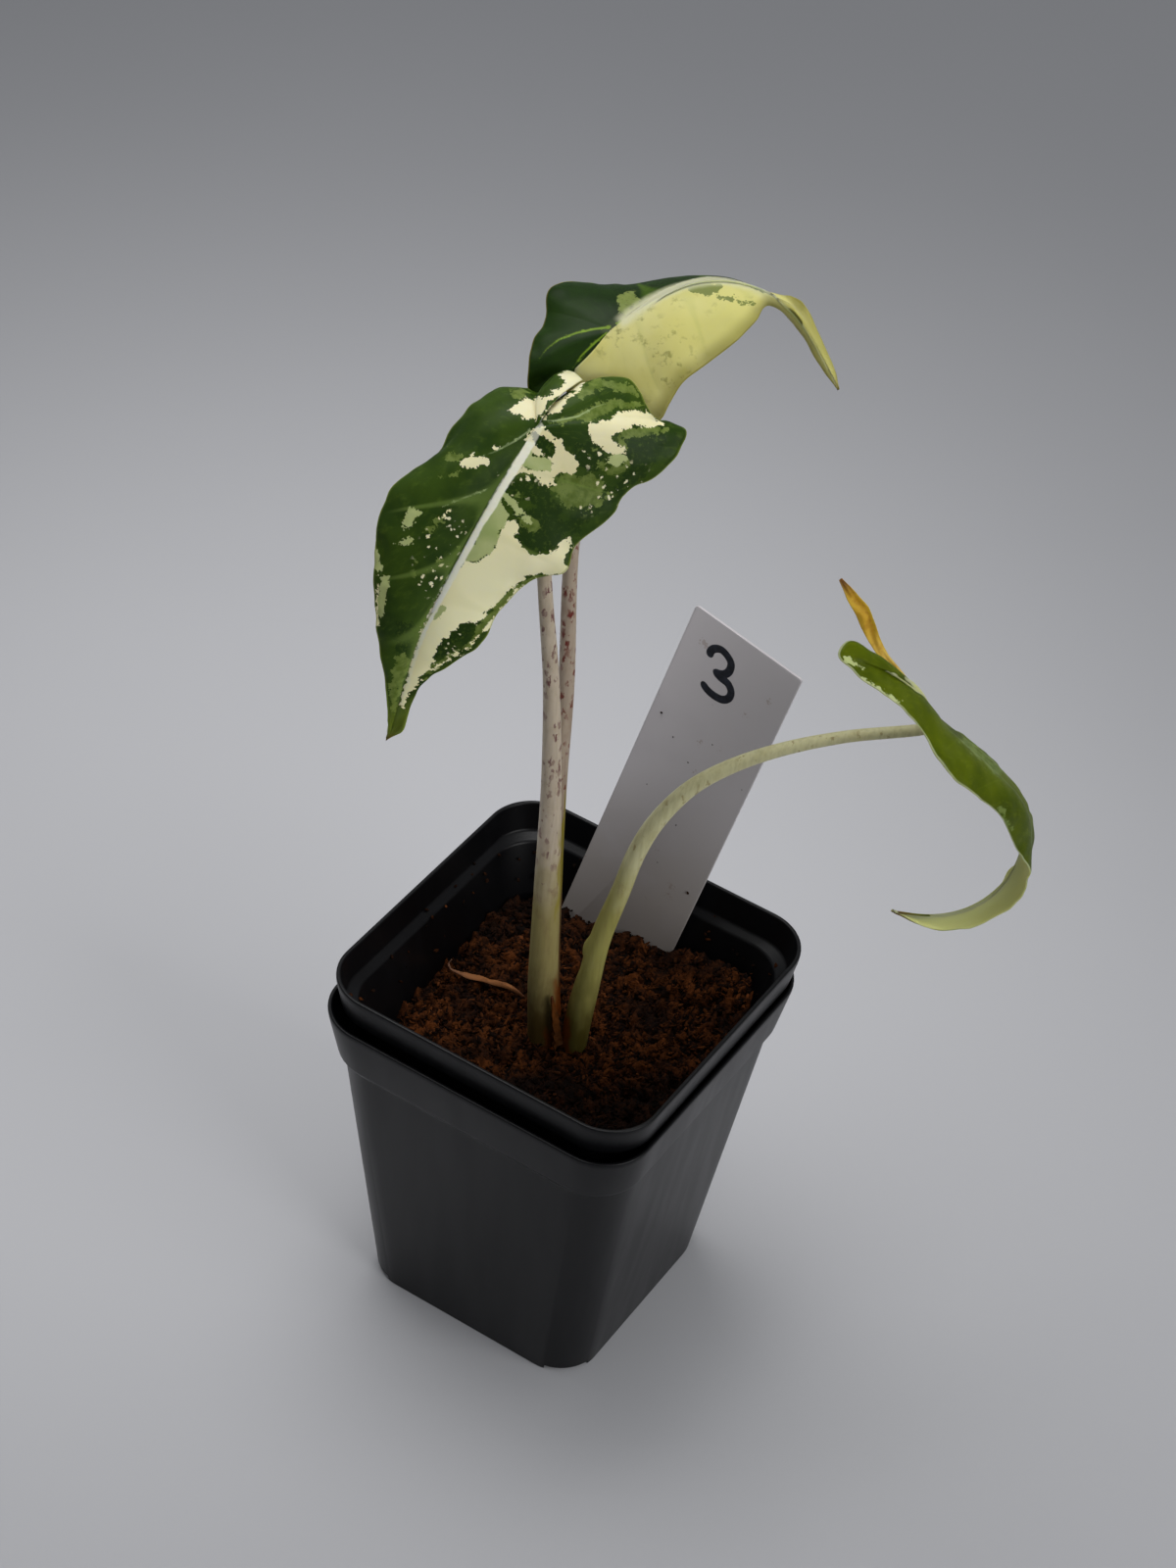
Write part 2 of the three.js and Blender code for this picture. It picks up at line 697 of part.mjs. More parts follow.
/** Gives a blade's sheet its thickness and the keel under its midrib, and closes it along the margin. */
function thicken(points, faces, details) {
  const normals = facing(points, faces);
  const half = BLADE.thickness / 2;
  const upper = points.map((point, i) => point.clone().addScaledVector(normals[i], half));
  const lower = points.map((point, i) => {
    const { across, reach, root } = details[i];
    const keel = BLADE.keelDepth * (1 - root) * Math.exp(-((across * reach / BLADE.keelWidth) ** 2));
    return point.clone().addScaledVector(normals[i], -half - keel);
  });
  const count = points.length;
  const edges = new Map();
  for (const [a, b, c] of faces) {
    for (const [from, to] of [[a, b], [b, c], [c, a]]) edges.set(`${from},${to}`, [from, to]);
  }
  const walls = [];
  for (const [from, to] of edges.values()) {
    if (edges.has(`${to},${from}`)) continue;
    walls.push([to, from, from + count], [to, from + count, to + count]);
  }
  const underside = faces.map(([a, b, c]) => [c + count, b + count, a + count]);
  return geometryOf([...upper, ...lower], [...faces, ...underside, ...walls]);
}

// Label

/** Where the label's box goes: its middle, and its own axes across, through and along. */
function labelPlace() {
  const along = new THREE.Vector3(...LABEL.along).normalize();
  const across = new THREE.Vector3(...LABEL.across);
  across.addScaledVector(along, -across.dot(along)).normalize();
  const through = new THREE.Vector3().crossVectors(along, across);
  const middle = new THREE.Vector3(...LABEL.top).addScaledVector(along, -LABEL.length / 2);
  return new THREE.Matrix4().makeBasis(across, through, along).setPosition(middle);
}

// The whole

const plant = new THREE.Group();

function add(name, geometry, material) {
  const mesh = new THREE.Mesh(geometry, material);
  mesh.name = name;
  plant.add(mesh);
  return mesh;
}

add("outer_pot", potGeometry(OUTER_POT), BLACK_PLASTIC);
add("inner_pot", potGeometry(INNER_POT), BLACK_PLASTIC);
add("soil", soilGeometry(), COMPOST);
add("stalk_front", stalkGeometry(STALK_FRONT), PALE_STALK);
add("stalk_back", stalkGeometry(STALK_BACK), PALE_STALK);
add("stalk_right", stalkGeometry(STALK_RIGHT), GREEN_STALK);
add("blade_front", bladeGeometry(BLADE_FRONT), GREEN_LEAF);
add("blade_back", bladeGeometry(BLADE_BACK), CREAM_LEAF);
add("blade_right", bladeGeometry(BLADE_RIGHT), GREEN_LEAF);
add("dry_lobe", sweep(DRY_LOBE, LONG_RIBBON_FACETS), DRY_LEAF);
add("dry_sheath", sweep(DRY_SHEATH, SHORT_RIBBON_FACETS), DRY_SKIN);
const scrap = DRY_SCRAP.map(([x, y, lift, ...rest]) => [x, y, soilHeight(x, y) + lift, ...rest]);
add("dry_scrap", sweep(scrap, SHORT_RIBBON_FACETS), DRY_SKIN);

const label = add("label", new THREE.BoxGeometry(LABEL.width, LABEL.thickness, LABEL.length), WHITE_PLASTIC);
label.applyMatrix4(labelPlace());

export default plant;
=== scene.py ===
import math

import bmesh
import bpy
import numpy as np
from mathutils import Matrix, Vector, noise


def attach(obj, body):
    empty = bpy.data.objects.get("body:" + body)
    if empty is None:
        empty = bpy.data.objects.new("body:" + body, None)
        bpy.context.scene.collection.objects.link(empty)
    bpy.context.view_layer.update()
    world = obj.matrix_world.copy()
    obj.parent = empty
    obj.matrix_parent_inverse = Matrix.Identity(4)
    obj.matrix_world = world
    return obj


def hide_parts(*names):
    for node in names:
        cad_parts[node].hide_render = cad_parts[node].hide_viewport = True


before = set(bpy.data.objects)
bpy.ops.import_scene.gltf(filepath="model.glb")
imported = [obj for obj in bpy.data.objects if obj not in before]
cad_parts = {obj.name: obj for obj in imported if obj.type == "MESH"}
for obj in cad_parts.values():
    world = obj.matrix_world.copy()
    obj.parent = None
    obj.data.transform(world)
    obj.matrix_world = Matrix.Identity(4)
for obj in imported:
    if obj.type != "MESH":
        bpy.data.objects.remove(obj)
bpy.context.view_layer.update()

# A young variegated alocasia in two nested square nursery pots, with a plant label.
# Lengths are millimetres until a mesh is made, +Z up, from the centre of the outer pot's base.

MM = 0.001


# The camera, which markings on the leaves are also placed by

CAMERA_AT = np.array([228.398, -414.207, 544.989])
CAMERA_RIGHT = np.array([0.83478691, 0.54415752, 0.08380574])
CAMERA_UP = np.array([-0.41480018, 0.52150561, 0.74563578])
CAMERA_BACK = np.array([0.36203815, -0.65720962, 0.66106269])
VIEW_WIDTH = 1200
VIEW_HEIGHT = 1600
FOCAL = 3535  # in the same units as the view's height
DRAWN_PER_MM = 5.7  # how large a millimetre at the plant is in the view
SENSOR = 36  # along the view's longer side


def drawn_at(points):
    """Where points show in a view of 1200 by 1600, from its upper left corner."""
    away = np.asarray(points, float) - CAMERA_AT
    distance = -(away @ CAMERA_BACK)
    across = VIEW_WIDTH / 2 + FOCAL * (away @ CAMERA_RIGHT) / distance
    down = VIEW_HEIGHT / 2 - FOCAL * (away @ CAMERA_UP) / distance
    return np.stack([across, down], -1)


def place_camera():
    data = bpy.data.cameras.new("camera")
    data.sensor_width = SENSOR
    data.lens = SENSOR * FOCAL / VIEW_HEIGHT
    data.clip_start = 0.01
    data.clip_end = 50
    camera = stand("camera", data)
    axes = Matrix([CAMERA_RIGHT, CAMERA_UP, CAMERA_BACK]).transposed()
    camera.matrix_world = Matrix.Translation(CAMERA_AT * MM) @ axes.to_4x4()
    bpy.context.scene.camera = camera


# Curves, fields and meshes


class Route:
    """A smooth curve through points, from 0 at the first to 1 at the last.

    Points that lie closer pull it less, so that uneven spacing makes no loops.
    """

    def __init__(self, rows):
        self.points = np.array([row[:3] for row in rows], float)

    def at(self, t):
        points = self.points
        place = t * (len(points) - 1)
        i = min(int(place), len(points) - 2)
        w = place - i
        x1, x2 = points[i], points[i + 1]
        x0 = points[i - 1] if i > 0 else 2 * x1 - x2
        x3 = points[i + 2] if i + 2 < len(points) else 2 * x2 - x1
        d0, d1, d2 = (max(np.linalg.norm(b - a), 1e-6) ** 0.5 for a, b in ((x0, x1), (x1, x2), (x2, x3)))
        t1 = ((x1 - x0) / d0 - (x2 - x0) / (d0 + d1) + (x2 - x1) / d1) * d1
        t2 = ((x2 - x1) / d1 - (x3 - x1) / (d1 + d2) + (x3 - x2) / d2) * d1
        c2 = -3 * x1 + 3 * x2 - 2 * t1 - t2
        c3 = 2 * x1 - 2 * x2 + t1 + t2
        return x1 + w * (t1 + w * (c2 + w * c3))

    def along(self, t):
        step = 1e-4
        low, high = max(t - step, 0), min(t + step, 1)
        way = self.at(high) - self.at(low)
        return way / np.linalg.norm(way)


def between(rows, column, t):
    """A value of evenly numbered rows at t, from 0 at the first row to 1 at the last."""
    values = [row[column] for row in rows]
    return float(np.interp(t * (len(rows) - 1), range(len(rows)), values))


def unit(vector):
    return vector / np.linalg.norm(vector)


FAR_OUTSIDE = -99.0


def inside_by(points, outline):
    """How far points of the view lie inside a closed outline, in millimetres, less than 0 outside."""
    corners = np.array(outline, float)
    nearest = np.full(len(points), np.inf)
    inside = np.zeros(len(points), bool)
    for a, b in zip(corners, np.roll(corners, -1, axis=0)):
        side = b - a
        share = np.clip(((points - a) @ side) / (side @ side), 0, 1)
        nearest = np.minimum(nearest, np.linalg.norm(points - a - share[:, None] * side, axis=1))
        if a[1] != b[1]:
            crosses = (points[:, 1] < a[1]) != (points[:, 1] < b[1])
            inside ^= crosses & (points[:, 0] < a[0] + (points[:, 1] - a[1]) * side[0] / side[1])
    return np.where(inside, nearest, -nearest) / DRAWN_PER_MM


def inside_any(points, outlines, holes=()):
    """How far points lie inside any of the outlines and outside all of the holes."""
    depth = np.full(len(points), FAR_OUTSIDE)
    for outline in outlines:
        depth = np.maximum(depth, inside_by(points, outline))
    for outline in holes:
        depth = np.minimum(depth, -inside_by(points, outline))
    return depth


def plain_mesh(name, points, faces):
    """A mesh from points in millimetres."""
    mesh = bpy.data.meshes.new(name)
    mesh.from_pydata((np.asarray(points) * MM).tolist(), [], faces)
    return mesh


def stand(name, data):
    """An object at the origin, in the scene."""
    made = bpy.data.objects.new(name, data)
    bpy.context.scene.collection.objects.link(made)
    return made


def as_plain_mesh(made):
    """What an object's modifiers make of it."""
    return bpy.data.meshes.new_from_object(made.evaluated_get(bpy.context.evaluated_depsgraph_get()))


def piece(name, points, faces, material, replaces=(), fields=None):
    """Makes a finished piece, with fields that hold one or three numbers for each point."""
    mesh = plain_mesh(name, points, faces)
    mesh.validate()
    for key, values in (fields or {}).items():
        values = np.asarray(values, np.float32)
        kind, entry = ("FLOAT", "value") if values.ndim == 1 else ("FLOAT_VECTOR", "vector")
        mesh.attributes.new(key, kind, "POINT").data.foreach_set(entry, values.ravel())
    dress(name, mesh, material, replaces)


def dress(name, mesh, material, replaces=()):
    """Makes a mesh a smooth piece of one material, which rides on the part's one body."""
    mesh.materials.clear()
    mesh.materials.append(material)
    mesh.polygons.foreach_set("use_smooth", [True] * len(mesh.polygons))
    made = stand(name, mesh)
    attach(made, "root")
    if replaces:
        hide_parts(*replaces)


def skin(rings, closed_ends=True):
    """Points and faces of a skin through rings of equal length, which turn left about their way."""
    count = len(rings[0])
    points = [point for ring in rings for point in ring]
    faces = []
    for ring in range(len(rings) - 1):
        for i in range(count):
            a, b = ring * count + i, ring * count + (i + 1) % count
            faces.append((a, b, b + count, a + count))
    if closed_ends:
        for ring, below in ((0, True), (len(rings) - 1, False)):
            points.append(np.mean(rings[ring], axis=0))
            for i in range(count):
                a, b = ring * count + i, ring * count + (i + 1) % count
                faces.append((len(points) - 1, b, a) if below else (len(points) - 1, a, b))
    return np.array(points), faces


def facing(points, faces):
    """The unit normal at each point of a sheet of triangles and quads."""
    corners = [np.array([face[k % len(face)] for face in faces]) for k in range(4)]
    normals = np.cross(points[corners[2]] - points[corners[0]], points[corners[3]] - points[corners[1]])
    flat = np.linalg.norm(normals, axis=1) < 1e-12
    ahead = np.cross(points[corners[1]] - points[corners[0]], points[corners[2]] - points[corners[0]])
    normals[flat] = ahead[flat]
    total = np.zeros_like(points)
    for corner in corners:
        np.add.at(total, corner, normals)
    return total / np.maximum(np.linalg.norm(total, axis=1), 1e-12)[:, None]


# Shader nodes


class Value:
    """What a node puts out. It is added, subtracted and multiplied like a number."""

    def __init__(self, socket):
        self.socket = socket
        self.tree = socket.id_data

    def __add__(self, other):
        return calculate("ADD", self, other)

    def __sub__(self, other):
        return calculate("SUBTRACT", self, other)

    def __mul__(self, other):
        return calculate("MULTIPLY", self, other)

    def __abs__(self):
        return calculate("ABSOLUTE", self)


def feed(socket, value):
    """Sets a node's input, or links it to what another node puts out."""
    if isinstance(value, Value):
        value = value.socket
    if isinstance(value, bpy.types.NodeSocket):
        socket.id_data.links.new(value, socket)
    else:
        socket.default_value = value


def node(tree, kind, values=None, **settings):
    """Adds a node and gives its outputs. values holds its inputs by name or number."""
    made = tree.nodes.new(kind)
    for name, value in settings.items():
        setattr(made, name, value)
    for key, value in (values or {}).items():
        feed(made.inputs[key], value)
    return made.outputs


def calculate(operation, first, *others):
    values = dict(enumerate((first, *others)))
    return Value(node(first.tree, "ShaderNodeMath", values, operation=operation)[0])


def rgb(red, green, blue):
    """A colour of 0 to 255 as the eye sees it, as the light that a shader wants."""
    light = (((c / 255 + 0.055) / 1.055) ** 2.4 if c > 10 else c / 255 / 12.92 for c in (red, green, blue))
    return (*light, 1)


def mixed(share, low, high):
    """A colour from low, where the share is 0, to high, where it is 1."""
    return Value(node(share.tree, "ShaderNodeMix", {0: share, 6: low, 7: high}, data_type="RGBA")[2])


def fade(value, low, high, out_low=0.0, out_high=1.0):
    """Goes smoothly from one number to another while value goes from low to high."""
    inputs = {"Value": value, "From Min": low, "From Max": high, "To Min": out_low, "To Max": out_high}
    return Value(node(value.tree, "ShaderNodeMapRange", inputs, interpolation_type="SMOOTHSTEP")[0])


def field(tree, name, output="Fac"):
    """What a mesh keeps at each point under this name."""
    return Value(node(tree, "ShaderNodeAttribute", attribute_name=name)[output])


def place(tree):
    return Value(node(tree, "ShaderNodeTexCoord")["Object"])


def drawn_out(where, *scale):
    """Places that draw a pattern out in each direction whose scale is below 1."""
    return Value(node(where.tree, "ShaderNodeMapping", {"Vector": where, "Scale": scale})[0])


def cloud(where, scale, detail=3.0, roughness=0.5):
    inputs = {"Vector": where, "Scale": scale, "Detail": detail, "Roughness": roughness}
    return Value(node(where.tree, "ShaderNodeTexNoise", inputs)[0])


def group(name, numbers, label, kind):
    """An empty node group that reads places and numbers: its tree, its inputs and its one output."""
    tree = bpy.data.node_groups.new(name, "ShaderNodeTree")
    tree.interface.new_socket("Where", in_out="INPUT", socket_type="NodeSocketVector")
    for number, default in numbers.items():
        socket = tree.interface.new_socket(number, in_out="INPUT", socket_type="NodeSocketFloat")
        socket.default_value = default
    tree.interface.new_socket(label, in_out="OUTPUT", socket_type=kind)
    given = {key: Value(socket) for key, socket in tree.nodes.new("NodeGroupInput").outputs.items()}
    return tree, given, tree.nodes.new("NodeGroupOutput").inputs[label]


def ragged_patch_group():
    """A marking or a painted highlight whose smooth depth field gets the jagged rim that cells give it."""
    tree, given, mask = group("ragged patch", {"Depth": 0.0, "Ragged": 0.6}, "Mask", "NodeSocketFloat")
    wave = cloud(given["Where"], 700, 2.0) * 1.3 + cloud(given["Where"], 2600, 2.0, 0.6) * 0.7
    depth = given["Depth"] + (wave - 1.0) * given["Ragged"] * 2.6
    feed(mask, fade(depth, -0.05, 0.06))
    return tree


def flecks_group():
    """Small scattered spots of uneven size, in some of the cells."""
    numbers = {"Scale": 800.0, "Size": 0.3, "Share": 0.5}
    tree, given, mask = group("flecks", numbers, "Mask", "NodeSocketFloat")
    inputs = {"Vector": given["Where"], "Scale": given["Scale"], "Randomness": 1.0}
    cells = node(tree, "ShaderNodeTexVoronoi", inputs)
    chances = node(tree, "ShaderNodeSeparateColor", {0: cells["Color"]})
    some = calculate("LESS_THAN", Value(chances[0]), given["Share"])
    ripple = (cloud(given["Where"], 2100, 3.0) - 0.5) * 1.1
    reach = given["Size"] * (Value(chances[1]) + 0.6)
    spot = fade(Value(cells["Distance"]) + ripple - reach, 0.05, -0.07)
    feed(mask, some * spot)
    return tree


def relief_group():
    """A normal with low relief of one size, Depth millimetres deep."""
    tree, given, normal = group("fine relief", {"Scale": 1500.0, "Depth": 0.05}, "Normal", "NodeSocketVector")
    inputs = {"Height": cloud(given["Where"], given["Scale"], 4.0), "Strength": 1.0,
              "Distance": given["Depth"] * MM}
    feed(normal, node(tree, "ShaderNodeBump", inputs)[0])
    return tree


RAGGED_PATCH = ragged_patch_group()
FLECKS = flecks_group()
RELIEF = relief_group()


def use(shared, where, **values):
    """Places a shared group with its own values."""
    made = where.tree.nodes.new("ShaderNodeGroup")
    made.node_tree = shared
    for key, value in {"Where": where, **values}.items():
        feed(made.inputs[key], value)
    return Value(made.outputs[0])


def finish(name, build, roughness=0.5, specular=0.5, lets_through=0.0):
    """A material whose build(tree) gives what changes over the surface: {shader input: value}.

    lets_through is for thin living or dried tissue, which light comes through.
    """
    material = bpy.data.materials.new(name)
    material.use_nodes = True
    tree = material.node_tree
    plain = {"Roughness": roughness, "Specular IOR Level": specular, "Subsurface Weight": lets_through,
             "Subsurface Radius": (1.0, 0.9, 0.5), "Subsurface Scale": 1.2 * MM}
    for key, value in [*plain.items(), *build(tree).items()]:
        feed(tree.nodes["Principled BSDF"].inputs[key], value)
    return material


# Pots

WALL = 0.8
OUTER_POT = dict(
    centre=(0, 0), base_z=0, rim_z=75.4, collar=11, step=1.4, base=25.6, waist=None, shoulder=32.6,
    collar_half=33.6, rim=35.3, base_corner=8.6, rim_corner=10.3)
INNER_POT = dict(
    centre=(0.3, 1.1), base_z=1.1, rim_z=83.1, collar=7, step=1, base=22.8, waist=(29.8, 65), shoulder=32.3,
    collar_half=34.1, rim=35, base_corner=8.6, rim_corner=10.3)
DRAIN = dict(length=9, width=4.6, height=1.3, inset=2.6)
RIM_BAND = 0.9  # the upright part of the rim
EDGE_ROUNDING = 0.38
HUB = 1  # half width of the first ring about the middle of a pot's floor


def square_ring(centre, half, corner, z, steps=14):
    """A level square ring with rounded corners and a few points along each straight side."""
    ring = []
    straight = half - corner
    for quarter in range(4):
        turn = quarter * math.pi / 2
        cosine, sine = math.cos(turn), math.sin(turn)
        local = [(straight + corner * math.cos(a), straight + corner * math.sin(a))
                 for a in np.linspace(0, math.pi / 2, steps)]
        local += [(straight * s, half) for s in (0.93, 0.5, 0, -0.5, -0.93)]
        ring += [(centre[0] + x * cosine - y * sine, centre[1] + x * sine + y * cosine, z) for x, y in local]
    return np.array(ring)


def rounded(profile, steps=4):
    """Rounds the inner corners of a profile of (half width, height, what else the row holds)."""
    points = [np.array(point, float) for point in profile]
    out = [points[0]]
    for before, corner, after in zip(points, points[1:], points[2:]):
        back, ahead = before - corner, after - corner
        cut = min(EDGE_ROUNDING, np.linalg.norm(back) * 0.45, np.linalg.norm(ahead) * 0.45)
        start, end = corner + unit(back) * cut, corner + unit(ahead) * cut
        for t in np.linspace(0, 1, steps):
            out.append((1 - t) ** 2 * start + 2 * t * (1 - t) * corner + t ** 2 * end)
    return out + [points[-1]]


def corner_at(pot, z):
    share = (z - pot["base_z"]) / (pot["rim_z"] - pot["base_z"])
    return pot["base_corner"] + share * (pot["rim_corner"] - pot["base_corner"])


def body_half(pot, z):
    """Half the outer width of a pot's tapering body, up to its waist or, without one, to its shoulder."""
    top_half, top_z = pot["waist"] or (pot["shoulder"], pot["rim_z"] - pot["collar"] - pot["step"])
    return pot["base"] + (z - pot["base_z"]) / (top_z - pot["base_z"]) * (top_half - pot["base"])


def pot_body(pot):
    """A pot's closed wall, from profiles of half width, height and how much less the corners are rounded."""
    collar_z = pot["rim_z"] - pot["collar"]
    shoulder_z = collar_z - pot["step"]
    floor_z = pot["base_z"] + WALL
    waists = [pot["waist"]] if pot["waist"] else []
    profile = [
        (HUB, pot["base_z"], 0),
        (pot["base"], pot["base_z"], 0),
        *[(half, z, 0) for half, z in waists],
        (pot["shoulder"], shoulder_z, 0),
        (pot["collar_half"], collar_z, 0),
        (pot["rim"], pot["rim_z"] - RIM_BAND, 0),
        (pot["rim"], pot["rim_z"], 0),
        (pot["rim"] - WALL, pot["rim_z"], WALL),
        (pot["collar_half"] - WALL, collar_z + WALL, WALL),
        (pot["shoulder"] - WALL, shoulder_z + WALL, WALL),
        *[(half - WALL, z, WALL) for half, z in waists],
        (body_half(pot, floor_z) - WALL, floor_z, WALL),
        (HUB, floor_z, WALL),
    ]
    rings = []
    for half, z, less in rounded(profile):
        rings.append(square_ring(pot["centre"], half, min(corner_at(pot, z) - less, half * 0.95), z))
    points, faces = skin(rings, closed_ends=False)
    count = len(rings[0])
    last = len(points) - count
    points = np.vstack([points, [[*pot["centre"], pot["base_z"]], [*pot["centre"], floor_z]]])
    for i in range(count):
        j = (i + 1) % count
        faces.append((len(points) - 2, j, i))
        faces.append((len(points) - 1, last + i, last + j))
    return points, faces


def drain_boxes(pot):
    """One slot through the floor and the foot of the wall at each corner."""
    boxes = bmesh.new()
    reach = pot["base"] * math.sqrt(2) - pot["base_corner"] * (math.sqrt(2) - 1)
    size = (DRAIN["width"] + 2 * DRAIN["inset"], DRAIN["length"], 2 * DRAIN["height"])
    x, y = pot["centre"]
    for quarter in range(4):
        angle = math.pi / 4 + quarter * math.pi / 2
        where = Vector((x + reach * math.cos(angle), y + reach * math.sin(angle), pot["base_z"]))
        turned = Matrix.Translation(where * MM) @ Matrix.Rotation(angle, 4, "Z")
        bmesh.ops.create_cube(boxes, size=1, matrix=turned @ Matrix.Diagonal((*[s * MM for s in size], 1)))
    mesh = bpy.data.meshes.new("drain boxes")
    boxes.to_mesh(mesh)
    boxes.free()
    return mesh


def make_pot(name, pot, material):
    rough = stand(name + " rough", plain_mesh(name, *pot_body(pot)))
    cutter = stand(name + " drains", drain_boxes(pot))
    cut = rough.modifiers.new("drains", "BOOLEAN")
    cut.operation = "DIFFERENCE"
    cut.solver = "EXACT"
    cut.object = cutter
    mesh = as_plain_mesh(rough)
    bpy.data.objects.remove(rough)
    bpy.data.objects.remove(cutter)
    dress(name, mesh, material, [name])
    mesh.set_sharp_from_angle(angle=math.radians(40))


def black_plastic(tree):
    where = place(tree)
    long = drawn_out(where, 1.0, 1.0, 0.12)
    streaks = fade(cloud(long, 260, 5.0, 0.6), 0.5, 0.78, 0.0, 0.2)
    dust = fade(cloud(where, 1400, 4.0, 0.7), 0.62, 0.8)
    color = mixed(dust, rgb(9, 9, 11), rgb(26, 25, 25))
    color = mixed(streaks, color, rgb(28, 28, 32))
    rough = fade(cloud(long, 200, 3.0), 0.3, 0.7, 0.33, 0.38) + dust * 0.12
    return {"Base Color": color, "Roughness": rough, "Normal": use(RELIEF, where, Scale=2200.0, Depth=0.01)}


# Compost

SOIL = dict(level=64.6, slope=0.055)
HEAP = dict(x=30, y=31, height=5.2, wide=22, deep=15)
SOIL_CELLS = 240
SOIL_GAP = 0.15  # between the compost's top and the pot's wall
FOOT_GAP = 1.0  # and between its foot and the wall
FLOOR_GAP = 0.3
CLUMPS = ((0.22, 2.6), (0.5, 1.9), (1.05, 1.1), (2.2, 0.5))  # how often in a millimetre, and how high
CLUMP_SWAY = 0.5  # how far the clumps are pushed about
CREASE_DEPTH = 1.6
PIT_DEPTH = 3.2
BED_CELLS = 60
BED_REACH = 0.975  # of the way to the pot's wall
STALK_FEET = dict(x=1.2, y=-1, reach=4.6)  # where no crumbs lie
LEDGE_BED_Z = 68.5
LEDGE_BED_CORNER = 9.4
TOWARD_CAMERA = (0.48, -0.88, 0.0)  # level


def soil_height(x, y):
    """The solid's surface: level but for a slope, the heap in the back right corner, clods and lumps."""
    slope = SOIL["slope"] * (x + y)
    aside, behind = (x - HEAP["x"]) / HEAP["wide"], (y - HEAP["y"]) / HEAP["deep"]
    heap = HEAP["height"] * math.exp(-aside ** 2 - behind ** 2)
    clods = 0.55 * math.sin(0.33 * x + 1.3) * math.cos(0.29 * y - 0.4)
    lumps = 0.4 * math.sin(0.9 * x - 0.6 * y) + 0.35 * math.sin(1.3 * x + 1.1 * y + 2)
    return SOIL["level"] + slope + heap + clods + lumps * math.cos(0.7 * y - 0.5 * x)


def inside_pot(u, v, z, clear):
    """Pulls a point of the square -1 to 1 onto a rounded square of the inner pot's inside."""
    pot = INNER_POT
    half = body_half(pot, z) - WALL - clear
    straight = half - (corner_at(pot, z) - WALL)
    x, y = abs(u) * half, abs(v) * half
    if x > straight and y > straight:
        pull = max(x - straight, y - straight) / math.hypot(x - straight, y - straight)
        x, y = straight + (x - straight) * pull, straight + (y - straight) * pull
    return pot["centre"][0] + math.copysign(x, u), pot["centre"][1] + math.copysign(y, v)


def clumps(x, y):
    """Rounded clumps of all sizes with creases between them, in mm over the deepest crease."""
    sway = noise.noise(Vector((x, y, 5)) * 0.9), noise.noise(Vector((y, x, 8)) * 0.9)
    where = Vector((x + CLUMP_SWAY * sway[0], y + CLUMP_SWAY * sway[1], 0))
    shift = Vector((7, 3, 1))
    return sum(height * abs(noise.noise(where * often + shift * often)) for often, height in CLUMPS)


def crumbled(x, y):
    """The loose surface: the solid's own relief, broken up by clods, clumps and pits."""
    where = Vector((x, y, 0))
    clods = noise.fractal(where * 0.2, 0.9, 2.1, 3)
    pits = max(0.0, noise.noise(where * 0.42 + Vector((2, 9, 4))) - 0.15)
    return soil_height(x, y) + 0.7 * clods + clumps(x, y) - CREASE_DEPTH - PIT_DEPTH * pits


def soil_grid(cells, reach):
    """Places over the compost's top, row by row, and the faces between them."""
    side = cells + 1
    steps = [2 * i / cells - 1 for i in range(side)]
    places = [inside_pot(u * reach, v * reach, SOIL["level"], SOIL_GAP) for v in steps for u in steps]
    starts = [row * side + column for row in range(cells) for column in range(cells)]
    return places, [(a, a + 1, a + 1 + side, a + side) for a in starts]


def make_soil(material):
    last = SOIL_CELLS
    floor_z = INNER_POT["base_z"] + WALL + FLOOR_GAP
    places, faces = soil_grid(last, 1)
    points = [(x, y, crumbled(x, y)) for x, y in places]
    crest = [clumps(x, y) for x, y in places]
    rim = [(i, 0) for i in range(last)] + [(last, i) for i in range(last)]
    rim += [(last - i, last) for i in range(last)] + [(0, last - i) for i in range(last)]
    first = len(points)
    for column, row in rim:
        points.append((*inside_pot(2 * column / last - 1, 2 * row / last - 1, floor_z, FOOT_GAP), floor_z))
    points.append((*INNER_POT["centre"], floor_z))
    top = [row * (last + 1) + column for column, row in rim]
    for i in range(len(rim)):
        j = (i + 1) % len(rim)
        faces.append((top[j], top[i], first + i, first + j))
        faces.append((first + j, first + i, len(points) - 1))
    crest += [0.0] * (len(points) - len(crest))
    piece("soil", points, faces, material, ["soil"], {"crest": crest})


def top_bed(keep):
    """The compost's surface as a bed for crumbs, less what keep(x, y) leaves out."""
    places, faces = soil_grid(BED_CELLS, BED_REACH)
    points = [(x, y, crumbled(x, y)) for x, y in places]
    kept = [face for face in faces if all(keep(*places[corner]) for corner in face)]
    return plain_mesh("crumb bed", points, kept)


def ledge_bed():
    """The ledge and the lower wall inside the inner pot's collar, where stray crumbs lie."""
    pot = INNER_POT
    ledge_z = pot["rim_z"] - pot["collar"] - pot["step"] + WALL
    rows = [(body_half(pot, LEDGE_BED_Z) - WALL - 0.1, LEDGE_BED_Z), (pot["shoulder"] - WALL - 0.1, ledge_z),
            (pot["collar_half"] - WALL - 0.2, ledge_z + pot["step"])]
    rings = [square_ring(pot["centre"], half, LEDGE_BED_CORNER, z, 5) for half, z in rows]
    return plain_mesh("ledge bed", *skin(rings, closed_ends=False))


